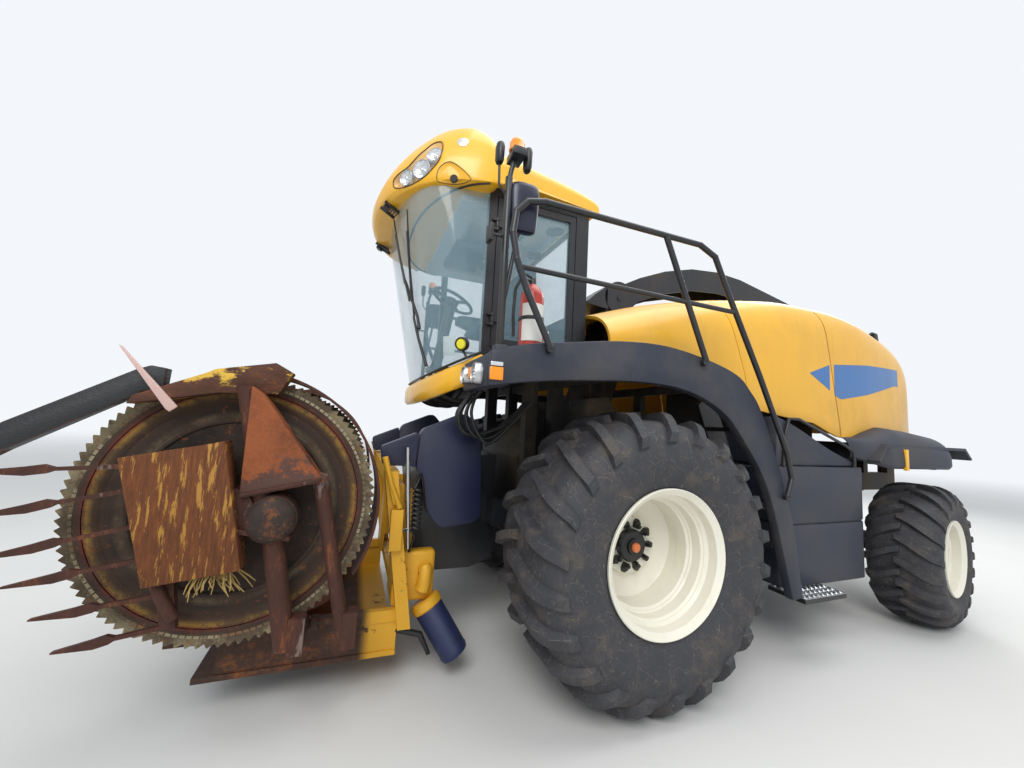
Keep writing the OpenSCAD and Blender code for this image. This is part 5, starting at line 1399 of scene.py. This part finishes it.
        # Moulded covers with rounded corners, a stepped front end and a groove between
        def rounded(points, r):
            out, n = [], len(points)
            for k in range(n):
                a, b, c = (Vector(points[(k + j) % n]) for j in (-1, 0, 1))
                u, v = (a - b), (c - b)
                cut = min(r, u.length * 0.45, v.length * 0.45)
                p, q = b + u.normalized() * cut, b + v.normalized() * cut
                out += [tuple(p * (1 - t) ** 2 + b * 2 * t * (1 - t) + q * t * t) for t in np.linspace(0, 1, 6)]
            return out

        back = rounded([(1372, 1598), (1060, 1735), (940, 1600), (910, 1000), (960, 960), (1200, 930), (1300, 1060),
                        (1330, 1270), (1388, 1324)], 50)
        front = rounded([(1628, 1476), (1384, 1582), (1394, 1334), (1420, 1350), (1608, 1350)], 26)
        form = Form().slab(back, 600, 700).slab(front, 606, 692)
        form.slab([(1350, 1380), (1430, 1390), (1430, 1530), (1340, 1560)], 622, 676)
        form.both().done("cover_mouldings", "navy plastic", "header", ["feed_covers"], edge=0.012, sharp=45)

    def drive(self):
        # Gearbox with its elbow, a collar and the shaft's guard
        box = Form().box((1220, 640, 480), (1440, 740, 800))
        box.done("gearbox", "drive yellow", "header", ["header_drive"], edge=0.024, sharp=50)
        low, high = Vector((1060, 800, 150)), Vector((1290, 690, 500))
        stations = [low, *(low.lerp(high, t) for t in (0.06, 0.08, 0.8, 0.86))]
        guard = Form().tube(stations, [86, 95, 92, 95, 80], 40)
        guard.done("drive_guard", "navy paint", "header", sharp=40)
        trim = Form().tube([low.lerp(high, t) for t in (0.78, 0.8, 0.9, 0.93)], [96, 104, 104, 90], 40)
        trim.tube([(1300, 752, 560), (1290, 756, 590), (1286, 756, 700), (1290, 754, 720)], [50, 46, 46, 30], 24)
        trim.done("drive_collar", "drive yellow", "header", sharp=40)
        ends = Form().tube([low + (low - high).normalized() * 6, low + (high - low).normalized() * 10], 70, 32)
        ends.tube([(1480, 764, 345), (1300, 800, 300), (1240, 810, 180)], [22, 20, 14], 12)
        ends.done("drive_end", "black trim", "header", sharp=40)


class HARVESTER_OT_finishes(bpy.types.Operator):
    """Finishes of the pieces that keep the frame's own shape"""
    bl_idname = "harvester.finishes"
    bl_label = "Finishes of the frame's pieces"

    def execute(self, context):
        groups = {
            "chassis paint": ["main_frame", "frame_posts", "front_axle", "rear_axle", "chopper_housing", "knuckle_left",
                              "knuckle_right", "rear_bumper"],
            "engine iron": ["engine_block"],
            "black paint": ["ladder", "handrail_left", "handrail_right", "cab_frame", "door_frame", "spout_turret",
                            "spout_base", "spout_boom", "spout_flap", "feed_housing"],
            "dark plastic": ["rear_fenders"],
            "cab lining": ["headliner"],
            "black trim": ["steering_column"],
            "cab glass": ["cab_glass", "door_glass"],
            "reflector": ["corner_lamps"],
            "mirror blue": ["mirror_left", "mirror_right"],
            "red paint": ["extinguisher"],
            "header yellow": ["header_frame"],
            "red brown steel": ["wing_frame_left", "wing_frame_right"],
            "rusty steel": ["mid_drum_left", "mid_drum_right"],
        }
        for name, members in groups.items():
            for node in members:
                for place in NODES[node].material_slots:
                    place.material = finish(name)
        return {"FINISHED"}


# Stage

class HARVESTER_OT_stage(bpy.types.Operator):
    """Pale floor, soft light and the camera"""
    bl_idname = "harvester.stage"
    bl_label = "Stage"

    def execute(self, context):
        scene = context.scene
        floor_mesh = bpy.data.meshes.new("floor")
        floor_mesh.from_pydata([(-120, -120, 0), (120, -120, 0), (120, 120, 0), (-120, 120, 0)], [], [(0, 1, 2, 3)])
        floor = bpy.data.objects.new("floor", floor_mesh)
        scene.collection.objects.link(floor)
        f = Finish("floor")
        tone = f.mix(f.noise(0.6, 3.0), colour("D9D8D4"), colour("E2E1DD"))
        away = f.add("ShaderNodeVectorMath", {"operation": "LENGTH"}, [f.place], output="Value")
        floor_mesh.materials.append(f.done(tone, 0.9, Alpha=1 - away.part(9.0, 34.0)))

        world = bpy.data.worlds.new("studio")
        scene.world = world
        world.use_nodes = True
        tree = world.node_tree
        tree.nodes.clear()
        path = tree.nodes.new("ShaderNodeLightPath")
        seen = path.outputs["Is Camera Ray"]
        for ray in ("Is Transmission Ray", "Is Glossy Ray"):
            either = tree.nodes.new("ShaderNodeMath")
            either.operation = "MAXIMUM"
            tree.links.new(seen, either.inputs[0])
            tree.links.new(path.outputs[ray], either.inputs[1])
            seen = either.outputs[0]
        plain, bright = tree.nodes.new("ShaderNodeBackground"), tree.nodes.new("ShaderNodeBackground")
        plain.inputs[0].default_value, plain.inputs[1].default_value = (0.86, 0.92, 1.0, 1), 0.62
        bright.inputs[0].default_value, bright.inputs[1].default_value = (0.90, 0.93, 0.97, 1), 1.0
        both, out = tree.nodes.new("ShaderNodeMixShader"), tree.nodes.new("ShaderNodeOutputWorld")
        tree.links.new(seen, both.inputs[0])
        tree.links.new(plain.outputs[0], both.inputs[1])
        tree.links.new(bright.outputs[0], both.inputs[2])
        tree.links.new(both.outputs[0], out.inputs[0])

        lights = (("key", (6.0, 9.0, 9.5), (0.5, 0.5, 1.6), 6.0, 900), ("over", (-2.0, 1.0, 11.0), (0, 0, 1), 9.0, 620),
                  ("back", (-9.0, -5.0, 7.0), (0, 0, 1.8), 6.0, 420))
        for name, place, target, size, power in lights:
            lamp = bpy.data.lights.new(name, "AREA")
            lamp.size, lamp.energy = size, power
            holder = bpy.data.objects.new(name, lamp)
            holder.location = place
            holder.rotation_euler = (Vector(target) - Vector(place)).to_track_quat("-Z", "Y").to_euler()
            scene.collection.objects.link(holder)

        # Camera from the picture's own perspective
        yaw, pitch, roll = (math.radians(a) for a in (248.815, 5.745, 3.065))
        ahead = Vector((math.cos(pitch) * math.cos(yaw), math.cos(pitch) * math.sin(yaw), math.sin(pitch)))
        level = Vector((math.sin(yaw), -math.cos(yaw), 0))
        rise = level.cross(ahead)
        right = math.cos(roll) * level + math.sin(roll) * rise
        up = -math.sin(roll) * level + math.cos(roll) * rise
        lens = bpy.data.cameras.new("camera")
        lens.sensor_width, lens.lens = 36.0, 400.33 / 1024 * 36
        lens.clip_start = 0.05
        camera = bpy.data.objects.new("camera", lens)
        turn = Matrix((right, up, -ahead)).transposed().to_4x4()
        camera.matrix_world = Matrix.Translation((2.6364, 3.5143, 1.6684)) @ turn
        scene.collection.objects.link(camera)
        scene.camera = camera
        scene.view_settings.view_transform = "Standard"
        return {"FINISHED"}


class HARVESTER_PT_panel(bpy.types.Panel):
    """Lists the machine's pieces in the order in which they are built"""
    bl_idname = "HARVESTER_PT_panel"
    bl_label = "Harvester"
    bl_space_type = "VIEW_3D"
    bl_region_type = "UI"
    bl_category = "Harvester"

    def draw(self, context):
        for group in (context.scene.harvester_sizes, context.scene.harvester_colours):
            for key in group.__annotations__:
                self.layout.prop(group, key)
        for step in STEPS:
            self.layout.operator(step.bl_idname)


STEPS = (HARVESTER_OT_finishes, HARVESTER_OT_tyres, HARVESTER_OT_rims, HARVESTER_OT_hood, HARVESTER_OT_screen,
         HARVESTER_OT_roof, HARVESTER_OT_cab_details, HARVESTER_OT_seat, HARVESTER_OT_platforms, HARVESTER_OT_tanks,
         HARVESTER_OT_drums, HARVESTER_OT_header, HARVESTER_OT_stage)
CLASSES = (PaintColours, MachineSizes, *STEPS, HARVESTER_PT_panel)


def register():
    for kind in CLASSES:
        bpy.utils.register_class(kind)
    bpy.types.Scene.harvester_colours = PointerProperty(type=PaintColours)
    bpy.types.Scene.harvester_sizes = PointerProperty(type=MachineSizes)


def unregister():
    del bpy.types.Scene.harvester_sizes
    del bpy.types.Scene.harvester_colours
    for kind in reversed(CLASSES):
        bpy.utils.unregister_class(kind)


def main():
    register()
    for step in STEPS:
        group, name = step.bl_idname.split(".")
        getattr(getattr(bpy.ops, group), name)()


if __name__ == "__main__":
    main()
